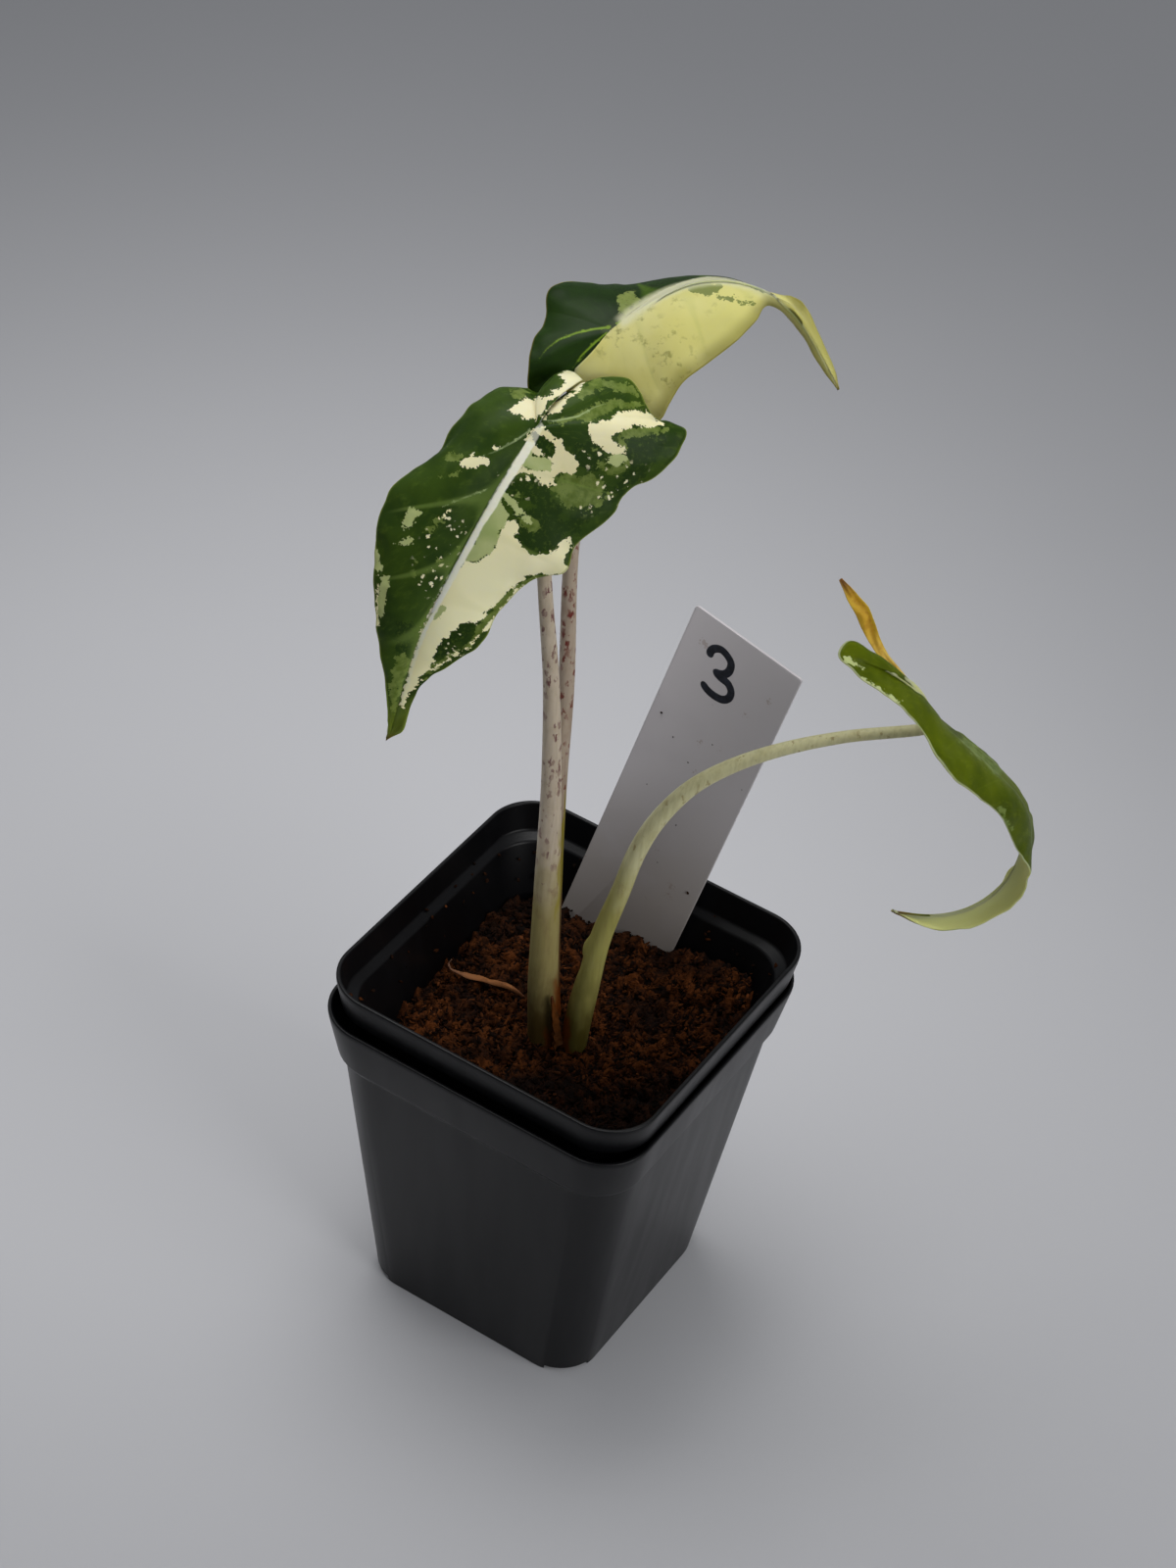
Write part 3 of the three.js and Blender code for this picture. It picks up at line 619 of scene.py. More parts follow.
def bits_tree(name, material, stretch, subdivisions):
    """Scatters lumpy bits over a mesh: a Geometry Nodes tree with named inputs."""
    tree = bpy.data.node_groups.new(name, "GeometryNodeTree")
    for label, kind in (("Geometry", "Geometry"), ("Per Square Metre", "Float"), ("Smallest", "Float"),
                        ("Largest", "Float"), ("Sunk", "Float"), ("Seed", "Int")):
        tree.interface.new_socket(label, in_out="INPUT", socket_type="NodeSocket" + kind)
    tree.interface.new_socket("Geometry", in_out="OUTPUT", socket_type="NodeSocketGeometry")
    given = tree.nodes.new("NodeGroupInput").outputs

    def add(kind, values, output=0, **settings):
        return node(tree, kind, values, **settings)[output]

    def chance(low, high, seed, kind="FLOAT_VECTOR"):
        low_at, high_at, output = (0, 1, 0) if kind == "FLOAT_VECTOR" else (2, 3, 1)
        values = {low_at: low, high_at: high, "Seed": seed}
        return add("FunctionNodeRandomValue", values, output, data_type=kind)

    spread = add("GeometryNodeDistributePointsOnFaces", {
        "Mesh": given["Geometry"], "Density": given["Per Square Metre"], "Seed": given["Seed"]})
    lump = add("GeometryNodeMeshIcoSphere", {"Radius": 1.0, "Subdivisions": subdivisions})
    size = chance(given["Smallest"], given["Largest"], 3, "FLOAT")
    squeeze = chance((0.6, 0.55, 0.35), (stretch, 0.9, 0.7), 11)
    scale = add("ShaderNodeVectorMath", {0: squeeze, "Scale": size}, operation="SCALE")
    turn = add("FunctionNodeEulerToRotation", {0: chance((-0.7, -0.7, 0.0), (0.7, 0.7, 6.283), 5)})
    placed = add("GeometryNodeInstanceOnPoints", {
        "Points": spread, "Instance": lump, "Rotation": turn, "Scale": scale})
    tinted = add("GeometryNodeStoreNamedAttribute", {
        "Geometry": placed, "Name": "tint", "Value": chance(0.0, 1.0, 8, "FLOAT")},
        data_type="FLOAT", domain="INSTANCE")
    real = add("GeometryNodeRealizeInstances", {0: tinted})
    uneven = add("ShaderNodeTexNoise", {"Scale": 900.0, "Detail": 2.0}, "Color")
    centred = add("ShaderNodeVectorMath", {0: uneven, 1: (0.5, 0.5, 0.5)}, operation="SUBTRACT")
    reach = add("ShaderNodeMath", {0: given["Largest"], 1: 2.2}, operation="MULTIPLY")
    push = add("ShaderNodeVectorMath", {0: centred, "Scale": reach}, operation="SCALE")
    fall = add("ShaderNodeMath", {0: given["Sunk"], 1: -1.0}, operation="MULTIPLY")
    drop = add("ShaderNodeCombineXYZ", {"Z": fall})
    offset = add("ShaderNodeVectorMath", {0: push, 1: drop}, operation="ADD")
    moved = add("GeometryNodeSetPosition", {"Geometry": real, "Offset": offset})
    done = add("GeometryNodeSetMaterial", {"Geometry": moved, "Material": material})
    feed(tree.nodes.new("NodeGroupOutput").inputs[0], done)
    return tree


def scatter(name, bed, tree, material, **values):
    """Runs a scatter tree over a bed mesh, and keeps what it makes as a plain piece."""
    carrier = stand(name + " bed", bed)
    run = carrier.modifiers.new("scatter", "NODES")
    run.node_group = tree
    for item in tree.interface.items_tree:
        label = item.name.replace(" ", "_")
        if item.in_out == "INPUT" and label in values:
            run[item.identifier] = values[label]
    mesh = as_plain_mesh(carrier)
    carrier.modifiers.clear()
    bpy.data.objects.remove(carrier)
    dress(name, mesh, material)


def darkened(where, color):
    """Compost of this colour with darker patches, and painted shade of the pot's walls in the near and in the
    far corner.
    """
    color = mixed(fade(cloud(where, 110, 3.0), 0.42, 0.66, 0.0, 0.75), color, rgb(20, 10, 6))
    values = {0: where, 1: TOWARD_CAMERA}
    near = Value(node(where.tree, "ShaderNodeVectorMath", values, operation="DOT_PRODUCT")["Value"])
    near = near + fade(cloud(where, 160, 2.0), 0.3, 0.7, -0.004, 0.004)
    # Painted shade: darkest beside the pot's near wall and its far wall, whose shade falls on the compost.
    pot_wall_shade = fade(near, 0.004, 0.024, 0.0, 0.82) + fade(near, -0.018, -0.03, 0.0, 0.7)
    return mixed(pot_wall_shade, color, rgb(12, 7, 5))


def compost(tree):
    where = place(tree)
    fine = cloud(where, 1500, 5.0, 0.7)
    crest = field(tree, "crest") + fade(fine, 0.3, 0.7, -0.5, 0.5)
    # Near black in the creases between the clumps and brown on their crests: painted shade in the creases.
    color = mixed(fade(crest, 0.7, 2.4), rgb(9, 4, 3), rgb(80, 41, 14))
    return {"Base Color": darkened(where, color), "Roughness": fade(fine, 0.3, 0.7, 0.8, 0.95),
            "Normal": use(RELIEF, where, Scale=2400.0, Depth=0.35)}


def crumb_brown(tree):
    where = place(tree)
    tint = field(tree, "tint")
    color = mixed(fade(tint, 0.1, 0.75), rgb(17, 8, 5), rgb(70, 36, 12))
    color = mixed(fade(tint, 0.86, 1.0), color, rgb(100, 55, 26))
    color = mixed(fade(cloud(where, 1900, 4.0), 0.48, 0.7, 0.0, 0.75), color, rgb(20, 10, 6))
    return {"Base Color": darkened(where, color), "Normal": use(RELIEF, where, Scale=3000.0, Depth=0.2)}


# Stalks: foot to blade, [x, y, z, radius]

STALK_FRONT = [
    (-1, -3.3, 45, 2.6), (-1.5, -3.3, 63, 3.05), (-2.4, -4.2, 79.5, 2.95), (-3.2, -5.1, 105.5, 2.5),
    (-4, -6, 130, 1.85), (-5.5, -7, 153.5, 1.5), (-7.5, -9, 175.5, 1.3), (-9.6, -9.6, 194.5, 1.25),
    (-10.6, -10, 207.7, 1.15),
]
STALK_BACK = [
    (-3.3, 2.6, 45, 2.1), (-3.8, 2.6, 60.5, 2.4), (-5.2, 2.5, 73, 2.35), (-6.8, 2.7, 98, 2.1),
    (-8, 3.4, 121.5, 1.75), (-9, 4.5, 144, 1.5), (-11, 5, 174, 1.3), (-11, 7, 196, 1.25),
    (-10.3, 8.7, 214.9, 1.3),
]
STALK_RIGHT = [
    (4.4, -1.6, 45, 2), (4.5, -1.5, 63, 2.3), (5.5, -1, 79, 2.2), (6.5, 0, 92.5, 2.05), (9, 1, 105.5, 1.85),
    (11, 2, 116.5, 1.75), (13.5, 3.5, 124.5, 1.65), (18, 6, 133, 1.5), (23.5, 9, 139, 1.4),
    (31, 13, 144.5, 1.25), (40.5, 18.5, 149, 1.1), (52.4, 25, 152.9, 1.05),
]
STALK_STEPS = 150
STALK_SIDES = 28
FLAP_THICKNESS = 0.28  # in radians round the stalk
TOWARD_FRONT = np.array([0.0, -1.0, 0.0])  # where the turn round a stalk or a ribbon starts


def flap_rise(flaps, t, angle):
    """How far the papery flaps, [from, to, angle, height] along a stalk, stand out from it."""
    total = 0
    for low, high, turn, height in flaps:
        if low < t < high:
            off = (angle - turn + math.pi) % (2 * math.pi) - math.pi
            rise = math.sin(math.pi * (t - low) / (high - low)) ** 0.6
            total += height * rise * math.exp(-(off / FLAP_THICKNESS) ** 2)
    return total


def make_stalk(name, rows, end, material, flaps=()):
    """A tapering stalk that runs into its blade's keel at end."""
    route = Route(rows + [(*end, rows[-1][3])])
    side = TOWARD_FRONT
    rings, along, beside, level = [], [], [], []
    for step in range(STALK_STEPS + 1):
        t = step / STALK_STEPS
        way = route.along(t)
        side = unit(side - way * (side @ way))
        up = np.cross(way, side)
        share = t * len(rows) / (len(rows) - 1)  # the rows end one step before the route does
        radius = between(rows, 3, min(share, 1))
        radius *= 1 + 0.015 * math.sin(19 * t + rows[0][0])
        ring = []
        for i in range(STALK_SIDES):
            angle = 2 * math.pi * i / STALK_SIDES
            out = side * math.cos(angle) + up * math.sin(angle)
            ring.append(route.at(t) + (radius + flap_rise(flaps, t, angle)) * out)
            beside.append(out @ CAMERA_RIGHT)
        rings.append(ring)
        along += [t] * STALK_SIDES
        level += [route.at(t)[2]] * STALK_SIDES
    points, faces = skin(rings)
    piece(name, points, faces, material, [name], {
        "along": along + [0, 1], "beside": beside + [0, 0], "level": level + [level[0], level[-1]]})


def stalk_skin(foot, low, high, fleck, fleck_share, stain, rusty_side=1, line=0.0):
    """A stalk's colours from the foot up, with short dashes drawn out along it.

    stain is how far round its foot is rusty, from rusty_side, 1 being the camera's right and -1 its left.
    line is how strong the yellow-green line along its right side is.
    """
    dull = tuple(0.45 * a + 0.55 * b for a, b in zip(low, fleck))
    clean = 1.15 - 0.6 * stain

    def build(tree):
        where = place(tree)
        drawn = drawn_out(where, 1.0, 1.0, 0.5)
        long = drawn_out(where, 1.0, 1.0, 0.08)
        level = field(tree, "level") + fade(cloud(drawn, 300, 3.0), 0.3, 0.7, -3.0, 3.0)
        color = mixed(fade(level, 97.0, 122.0), low, high)
        color = mixed(fade(cloud(drawn, 420, 4.0, 0.6), 0.45, 0.7, 0.0, 0.25), color, dull)
        color = mixed(fade(cloud(long, 1500, 2.0), 0.4, 0.7, 0.0, 0.14), color, foot)
        upper = fade(field(tree, "along"), 0.25, 0.45)
        for scale in (520.0, 820.0):
            dashes = use(FLECKS, drawn, Scale=scale, Size=0.24, Share=fleck_share)
            dashes = dashes * fade(cloud(drawn, 900, 2.0), 0.3, 0.7, 0.3, 1.0)
            color = mixed(dashes * upper, color, fleck)
        spread = field(tree, "beside") * rusty_side + cloud(drawn, 260, 3.0)
        if line:
            band = fade(level, 94.0, 102.0) * fade(level, 126.0, 116.0) * fade(spread, 1.15, 1.35)
            color = mixed(band * line, color, rgb(140, 128, 30))
        # Darker toward the foot, down inside the pot: partly the stalk's own browner base, partly painted
        # shade of the pot.
        color = mixed(fade(level, 90.0, 66.0, 0.0, 0.9), color, foot)
        rust = fade(spread - fade(level, 62.0, 76.0, clean, clean + 0.9), -0.1, 0.35, 0.0, 0.9)
        color = mixed(rust * fade(level, 88.0, 76.0), color, rgb(112, 54, 14))
        return {"Base Color": color, "Normal": use(RELIEF, long, Scale=1400.0, Depth=0.05)}

    return build


# Blades, with the solids' control points, apart from the first of the back blade's right margin
# A margin's rows are [x, y, z, root], root being the place on the midrib that a side vein springs from.

BLADE_FRONT = dict(
    midrib=[
        (-10.7, -11.8, 209.6), (-12.5, -19, 201), (-14, -24, 193.5), (-16, -29, 183.5), (-18.5, -32.5, 172),
        (-19.5, -34, 160.5), (-21.1, -34.9, 151.1),
    ],
    left=[
        (-9.7, 0.4, 212.8, 0), (-11.9, 1.2, 213.3, 0), (-13.8, 1, 212.7, 0), (-13.7, -1.1, 211.3, 0),
        (-15.4, -3.6, 209.9, 0), (-18.2, -3.5, 209.6, 0), (-21.2, -6.8, 209.8, 0), (-23, -12.4, 208.6, 0),
        (-23.8, -17, 205.6, 0), (-23.9, -20.9, 202.8, 0.05), (-26.1, -24.4, 200.7, 0.1),
        (-27.7, -27.8, 198, 0.15), (-27.8, -30.8, 194.5, 0.2), (-26.7, -33.3, 189.2, 0.3),
        (-25.4, -35.1, 184.4, 0.4), (-23.5, -36.3, 175.3, 0.55), (-21.1, -36.4, 164.8, 0.75),
        (-20.7, -35.4, 155.7, 0.95),
    ],
    right=[
        (-9.5, -0.3, 211.8, 0), (-8.6, 1.4, 212.7, 0), (-6.8, 3.8, 213, 0), (-4, 5.9, 212.4, 0),
        (-1.6, 6.4, 210.8, 0), (-0.1, 5.8, 209.2, 0), (3.1, 5.8, 207.4, 0), (7.2, 7.3, 206.9, 0),
        (8, 4.7, 204.7, 0), (7, 0.1, 201.3, 0), (4.5, -2.4, 199.6, 0.05), (3.1, -4.6, 197.9, 0.1),
        (3.1, -6.6, 195.8, 0.15), (1.2, -10.8, 192.8, 0.2), (-0.2, -13.2, 191.1, 0.25),
        (0.4, -16.3, 187.6, 0.3), (-3.4, -18.1, 185.8, 0.35), (-5.8, -20.4, 183.1, 0.4),
        (-7.9, -23.5, 178.6, 0.5), (-8.6, -26.4, 174.1, 0.6), (-12.6, -30, 169.2, 0.7),
        (-16.9, -32.1, 164.2, 0.8), (-18.2, -32.4, 159.1, 0.9), (-18, -34.7, 155.1, 0.95),
    ],
    left_arch=0.16,
    right_arch=0.08,
    ripple=0.5,
    left_is_cream=False,
)
BLADE_BACK = dict(
    midrib=[
        (-10.5, 9.6, 217.6), (-8.4, 14.5, 220.5), (-6.5, 19.1, 222.5), (-2, 25.4, 223.9),
        (3.9, 28.6, 223.6), (9.2, 28.6, 223.3), (14.4, 27.5, 223.6), (20.3, 25.1, 220.3), (27, 22.2, 215.8),
    ],
    left=[
        (-14.6, 1.4, 210.1, 0), (-11.1, 2.1, 205.7, 0), (-6.6, 3.5, 203.1, 0), (-1.4, 6.4, 203, 0),
        (1.8, 8, 205.8, 0.05), (2.9, 8.7, 209.5, 0.1), (4.1, 10.5, 213.5, 0.2), (6, 14.8, 215.8, 0.3),
        (8, 19.4, 218.4, 0.4), (8.9, 24.5, 220.5, 0.5), (9.1, 28.1, 221.9, 0.65), (13.4, 27.9, 221.2, 0.75),
        (19.1, 25.5, 219.3, 0.85), (24.6, 23, 216.6, 0.95),
    ],
    right=[
        (-12.8, 3.2, 209.6, 0), (-15.4, -1.2, 208.6, 0), (-18.2, -2.1, 208.2, 0), (-19.2, -1.5, 212, 0),
        (-21.2, 2.9, 214.8, 0), (-21.5, 5.9, 215.7, 0), (-22.7, 8.6, 216.7, 0), (-24.2, 11.1, 218.1, 0),
        (-24.4, 13.5, 218.8, 0), (-23.5, 15.8, 218.7, 0.05), (-18.8, 20.9, 217.6, 0.1),
        (-13.3, 25.4, 217.8, 0.25), (-7, 30, 219.2, 0.4), (-1.4, 31.9, 220.2, 0.5), (5.3, 31.8, 220.7, 0.6),
        (9.1, 31.3, 222.2, 0.7), (14.1, 29.5, 224.2, 0.75), (16.8, 28.6, 222.9, 0.8),
        (20.2, 26.9, 220.3, 0.85), (23.6, 25.5, 217.6, 0.95),
    ],
    left_arch=0.12,
    right_arch=0.06,
    ripple=0.4,
    left_is_cream=True,
)
BLADE_RIGHT = dict(
    midrib=[
        (53.5, 25.5, 154), (57, 27.5, 151), (60.5, 29.5, 147.5), (64.5, 31.5, 143.5), (68, 33.5, 140),
        (70.5, 35, 136), (72, 36, 131), (72.5, 36, 126), (71.5, 35.5, 121), (69.5, 34.5, 114.5),
        (65, 32, 108.5), (59, 28.5, 106), (53, 25, 109),
    ],
    left=[
        (42.7, 12.6, 175.3, 0), (41.7, 9.8, 177.2, 0), (42, 6.8, 176.3, 0), (45.5, 6.9, 173.9, 0),
        (50.1, 8.9, 170.9, 0), (54, 11.4, 166.9, 0), (57.2, 13.9, 161.6, 0.05), (61, 12.5, 159.5, 0.1),
        (64.5, 13.4, 155.9, 0.2), (68.4, 17, 151, 0.35), (71, 21.4, 145.4, 0.45), (73.3, 27.5, 134.1, 0.55),
        (75.2, 30.5, 128.4, 0.6), (75.1, 32.4, 123.3, 0.65), (73.6, 32.5, 117.4, 0.75),
        (70.5, 31.7, 112.2, 0.8), (65.9, 29.5, 108.6, 0.85), (60.5, 27.6, 106.6, 0.95),
    ],
    right=[
        (52.5, 28, 154.6, 0), (51.8, 34, 148.4, 0), (55.1, 39.1, 142.5, 0.1), (58.7, 42.8, 137.7, 0.2),
        (62.6, 43.7, 134.6, 0.3), (66.4, 43.7, 131.7, 0.4), (69, 43.5, 128.3, 0.5),
        (70.7, 42.3, 124.7, 0.55), (71.4, 40.6, 121.4, 0.6), (69, 38.5, 118.5, 0.7), (68, 37.5, 114, 0.75),
        (65.5, 35.5, 110, 0.8), (62.5, 33, 107.5, 0.85), (58.5, 30, 105.5, 0.95),
    ],
    left_arch=0.14,
    right_arch=0.03,
    ripple=0.5,
    left_is_cream=False,
)

THICKNESS = 0.5
THINNER_RIM = 0.45  # the share of its thickness that a blade loses toward the rim
KEEL_DEPTH = 1.1
KEEL_WIDTH = 1.5
CHANNEL = dict(depth=0.02, wide=0.8)  # along the midrib's upper side
GROOVE = dict(depth=0.04, wide=0.4)  # along a side vein
QUILTING = 0.35
ROWS_PER_VEIN = 4
ROW_SPACING = 1.1 / 12  # from row to row, as a share of the way from the midrib
ROOM_TO_SWELL = 7  # between side veins, for the full quilting
FAN_STEPS = 2
NEAR_STALK = 3
MIDRIB_ROWS = 20
FINER = 6  # rows here to each row of the solid
COLUMNS = 48
CROWDING = 1.35  # above 1, the columns lie closer toward the midrib
EASING = 250  # times that each half of a blade is softened
CREAM_TIP_FROM = 0.6  # the root past which both halves of a half cream leaf are cream


def last_lobe_row(margin):
    return max(k for k, row in enumerate(margin) if row[3] == 0)


def place_of_root(margin, root):
    """How far along a margin, from 0 to 1, the side vein ends that springs from the given root."""
    i = last_lobe_row(margin)
    while i + 2 < len(margin) and margin[i + 1][3] < root:
        i += 1
    share = (root - margin[i][3]) / (margin[i + 1][3] - margin[i][3])
    return (i + share) / (len(margin) - 1)


def eased(half):
    """Softens the creases from row to row in one half of a blade. The margin stays as it is."""
    share = 0.5 * (1 - np.arange(1, COLUMNS + 1)[:, None] / COLUMNS) ** 1.2
    for _ in range(EASING):
        half[1:-1] += share * (0.5 * (half[:-2] + half[2:]) - half[1:-1])
    return half


def blade_sheet(leaf):
    """The blade's middle surface: points, faces and what each point's place on the blade is."""
    rib = Route(leaf["midrib"])
    tip = (*leaf["midrib"][-1], 1)
    middle_rows = MIDRIB_ROWS * FINER
    points = [rib.at(i / middle_rows) for i in range(middle_rows + 1)]
    details = [(0.0, 0.0, 0.0, i / middle_rows, 0.0, 0.0) for i in range(middle_rows + 1)]
    faces = []
    for key, arch, sign in (("left", leaf["left_arch"], -1), ("right", leaf["right_arch"], 1)):
        margin = [*leaf[key], tip]
        edge = Route(margin)
        fan_end = last_lobe_row(margin) / (len(margin) - 1)
        fan_rows = last_lobe_row(margin) * FAN_STEPS * FINER
        last = fan_rows + middle_rows
        start = len(points)
        half = np.empty((last, COLUMNS, 3))
        for row in range(last):
            root = max(0, row - fan_rows) / middle_rows
            t = fan_end * row / fan_rows if row <= fan_rows else place_of_root(margin, root)
            low, high = rib.at(root), edge.at(t)
            reach = float(np.linalg.norm(high - low))
            for column in range(1, COLUMNS + 1):
                across = (column / COLUMNS) ** CROWDING
                half[row, column - 1] = low + across * (high - low)
                details.append((across, reach, row / FINER, root, arch, sign))
        points += list(eased(half).reshape(-1, 3))

        def number(row, column):
            if row == last:
                return middle_rows
            if column == 0:
                return max(0, row - fan_rows)
            return start + row * COLUMNS + column - 1

        for row in range(last):
            for column in range(COLUMNS):
                corners = ((row, column), (row, column + 1), (row + 1, column + 1), (row + 1, column))
                face = list(dict.fromkeys(number(*corner) for corner in corners))
                if len(face) > 2:
                    faces.append(tuple(face if sign < 0 else face[::-1]))
    return np.array(points), faces, np.array(details).T


def steadied(points, faces):
    """Which way the sheet faces. Near the stalk it faces one way all round."""
    normals = facing(points, faces)
    near = np.exp(-(np.linalg.norm(points - points[0], axis=1) / NEAR_STALK) ** 2)[:, None]
    normals = normals * (1 - near) + normals[0] * near
    return normals / np.linalg.norm(normals, axis=1)[:, None]


def rim_walls(faces, count):
    """The walls round a sheet, from each point of its upper side to the one count further on below it."""
    edges = {(a, b): True for face in faces for a, b in zip(face, face[1:] + face[:1])}
    return [(b, a, a + count, b + count) for a, b in edges if (b, a) not in edges]


def make_blade(name, leaf, marks_and_highlights, material):
    points, faces, (across, reach, row, root, arch, side) = blade_sheet(leaf)
    bulge = arch * reach * 4 * across * (1 - across)
    beyond_lobe = np.clip(0.3 + 5 * root, 0, 1)
    spacing = ROW_SPACING * reach * across
    room = np.clip(spacing * ROWS_PER_VEIN / ROOM_TO_SWELL, 0, 1)
    swelling = QUILTING * beyond_lobe * room * np.sin(np.pi * row / ROWS_PER_VEIN) ** 2
    swelling = swelling * np.sin(np.pi * across)
    points = points + steadied(points, faces) * (bulge + swelling)[:, None]

    from_rib = across * reach
    vein_rows = np.abs((row + ROWS_PER_VEIN / 2) % ROWS_PER_VEIN - ROWS_PER_VEIN / 2)
    vein_dip = np.exp(-(vein_rows * spacing / GROOVE["wide"]) ** 2) * np.sin(np.pi * across) ** 0.5
    groove = GROOVE["depth"] * beyond_lobe * room * vein_dip
    channel = CHANNEL["depth"] * (1 - root) * np.exp(-(from_rib / CHANNEL["wide"]) ** 2)
    ripple = np.array([noise.noise(Vector(point) * 0.35) for point in points])
    waviness = leaf["ripple"] * ripple * across ** 3
    normals = steadied(points, faces)
    points = points + normals * waviness[:, None]

    half = THICKNESS / 2 * (1 - THINNER_RIM * across ** 8)
    keel = KEEL_DEPTH * (1 - root) * np.exp(-(from_rib / KEEL_WIDTH) ** 2)
    upper = points + normals * (half - groove - channel)[:, None]
    lower = points - normals * (half + keel)[:, None]
    count = len(points)
    under = [tuple(corner + count for corner in reversed(face)) for face in faces]

    fields = {
        "root": root,
        "vein": vein_rows * spacing + 0.25 * (1 - beyond_lobe),
        "edge": (1 - across) * reach,
        "side": side * from_rib,
        "flow": np.stack([side * from_rib, row * 1.2, root * 0], -1),
    }
    seen = drawn_at(points)
    for key in ("cream", "grey", "deep", "pale", "spray", "line"):
        fields[key] = inside_any(seen, *marks_and_highlights.get(key, ([], [])))
    if leaf["left_is_cream"]:
        fields["cream"] = np.maximum(-fields["side"], (root - CREAM_TIP_FROM) * 30)
    doubled = {key: np.concatenate([values, values]) for key, values in fields.items()}
    doubled["under"] = np.concatenate([np.zeros(count), np.ones(count)])
    solid = faces + under + rim_walls(faces, count)
    piece(name, np.vstack([upper, lower]), solid, material, [name], doubled)


def leaf_skin(tints):
    """A leaf's greens, creams, veins, midrib, rim and underside, laid one over the other by its fields."""

    def greens(where, mottle, flow):
        green = mixed(fade(cloud(where, 130, 3.0), 0.35, 0.65), tints["green"], tints["green2"])
        green = mixed(fade(cloud(flow, 1.1, 4.0, 0.65), 0.5, 0.75, 0.0, 0.4), green, tints["streak"])
        deep = use(RAGGED_PATCH, where, Depth=field(where.tree, "deep"), Ragged=0.9)
        green = mixed(deep * 0.85, green, mixed(mottle, tints["deep"], tints["streak"]))
        # On the right blade the grey patches are painted highlights.
        grey = use(RAGGED_PATCH, where, Depth=field(where.tree, "grey"), Ragged=0.8)
        grey_tint = mixed(fade(cloud(where, 700, 4.0), 0.35, 0.65), tints["grey"], tints["grey2"])
        green = mixed(grey, green, mixed(mottle * 0.5, grey_tint, tints["deep"]))
        sprayed = fade(field(where.tree, "spray"), -1.2, 0.6)
        for scale, size, share, tint in ((520.0, 0.24, 0.36, "grey2"), (1000.0, 0.26, 0.5, "cream")):
            sprinkle = use(FLECKS, where, Scale=scale, Size=size, Share=share)
            green = mixed(sprinkle * sprayed, green, tints[tint])
        return mixed(fade(field(where.tree, "root"), 0.78, 0.98, 0.0, 0.7), green, tints["tip"])

    def creams(where, root):
        freckles = fade(cloud(where, 620, 4.0, 0.65), 0.53, 0.66)
        freckles = freckles * fade(cloud(where, 130, 2.0), 0.42, 0.62, 0.0, tints["freckles"])
        color = mixed(fade(cloud(where, 110, 3.0), 0.3, 0.7), tints["cream"], tints["cream2"])
        color = mixed(freckles, color, tints["freckle"])
        return mixed(fade(root, 0.05, 0.45, 0.0, tints["aged"]), color, tints["cream_tip"])

    def midrib(where, root):
        aside = abs(field(where.tree, "side") - tints["rib_shift"])
        wobble = (cloud(where, 900, 3.0) - 0.5) * tints["rib_wobble"]
        edge = aside - fade(root, 0.0, 1.0, tints["rib_width"], 0.2) + wobble
        rib = fade(edge, tints["rib_soft"], -0.18) * fade(root, tints["rib_gone"], tints["rib_full"])
        return rib * fade(root, -0.01, tints["rib_start"])

    def build(tree):
        where, root, edge, under = place(tree), field(tree, "root"), field(tree, "edge"), field(tree, "under")
        flow = drawn_out(field(tree, "flow", "Vector"), 0.45, 1.5, 1.0)
        mottle = fade(cloud(where, 1500, 4.0, 0.7), 0.52, 0.66, 0.0, 0.5)
        cream = use(RAGGED_PATCH, where, Depth=field(tree, "cream"), Ragged=tints["ragged"])
        color = mixed(cream, greens(where, mottle, flow), creams(where, root))
        # On the right blade the pale patches are painted highlights.
        pale = use(RAGGED_PATCH, where, Depth=field(tree, "pale"), Ragged=0.6)
        color = mixed(pale, color, mixed(cloud(where, 420, 3.0), tints["pale"], tints["pale2"]))
        lines = fade(field(tree, "line") + fade(mottle, 0.0, 0.5, -0.1, 0.1), -0.15, 0.25)
        color = mixed(lines, color, tints["line"])
        vein = fade(field(tree, "vein"), 0.2, 0.02, 0.0, tints["veins"]) * fade(edge, 0.5, 5.0)
        color = mixed(vein * fade(cream, 1.0, 0.0, 0.25, 1.0), color, tints["vein"])
        color = mixed(midrib(where, root), color, mixed(cloud(flow, 2.0, 2.0), tints["rib"], tints["rib2"]))
        color = mixed(fade(edge, 3.2, 0.3, 0.0, tints["edge_share"]) * cream, color, tints["rim"])
        color = mixed(fade(edge, 0.3, 0.14, 0.0, tints["rim_share"]), color, tints["rim"])
        color = mixed(fade(root, tints["brown_from"], 1.0, 0.0, tints["brown_tip"]), color, rgb(104, 74, 36))
        color = mixed(under * tints["under_share"], color, tints["under"])

        cells = cloud(where, 3200, 2.0)
        rough = fade(cells, 0.3, 0.7, tints["gloss"] - 0.05, tints["gloss"] + 0.07) + under * 0.15
        bumps = cells * 0.3 + fade(field(tree, "vein"), 0.0, 0.6)
        relief = node(tree, "ShaderNodeBump", {"Height": bumps, "Strength": 0.4, "Distance": 0.06 * MM})
        return {"Base Color": color, "Roughness": rough, "Normal": Value(relief[0])}

    return build


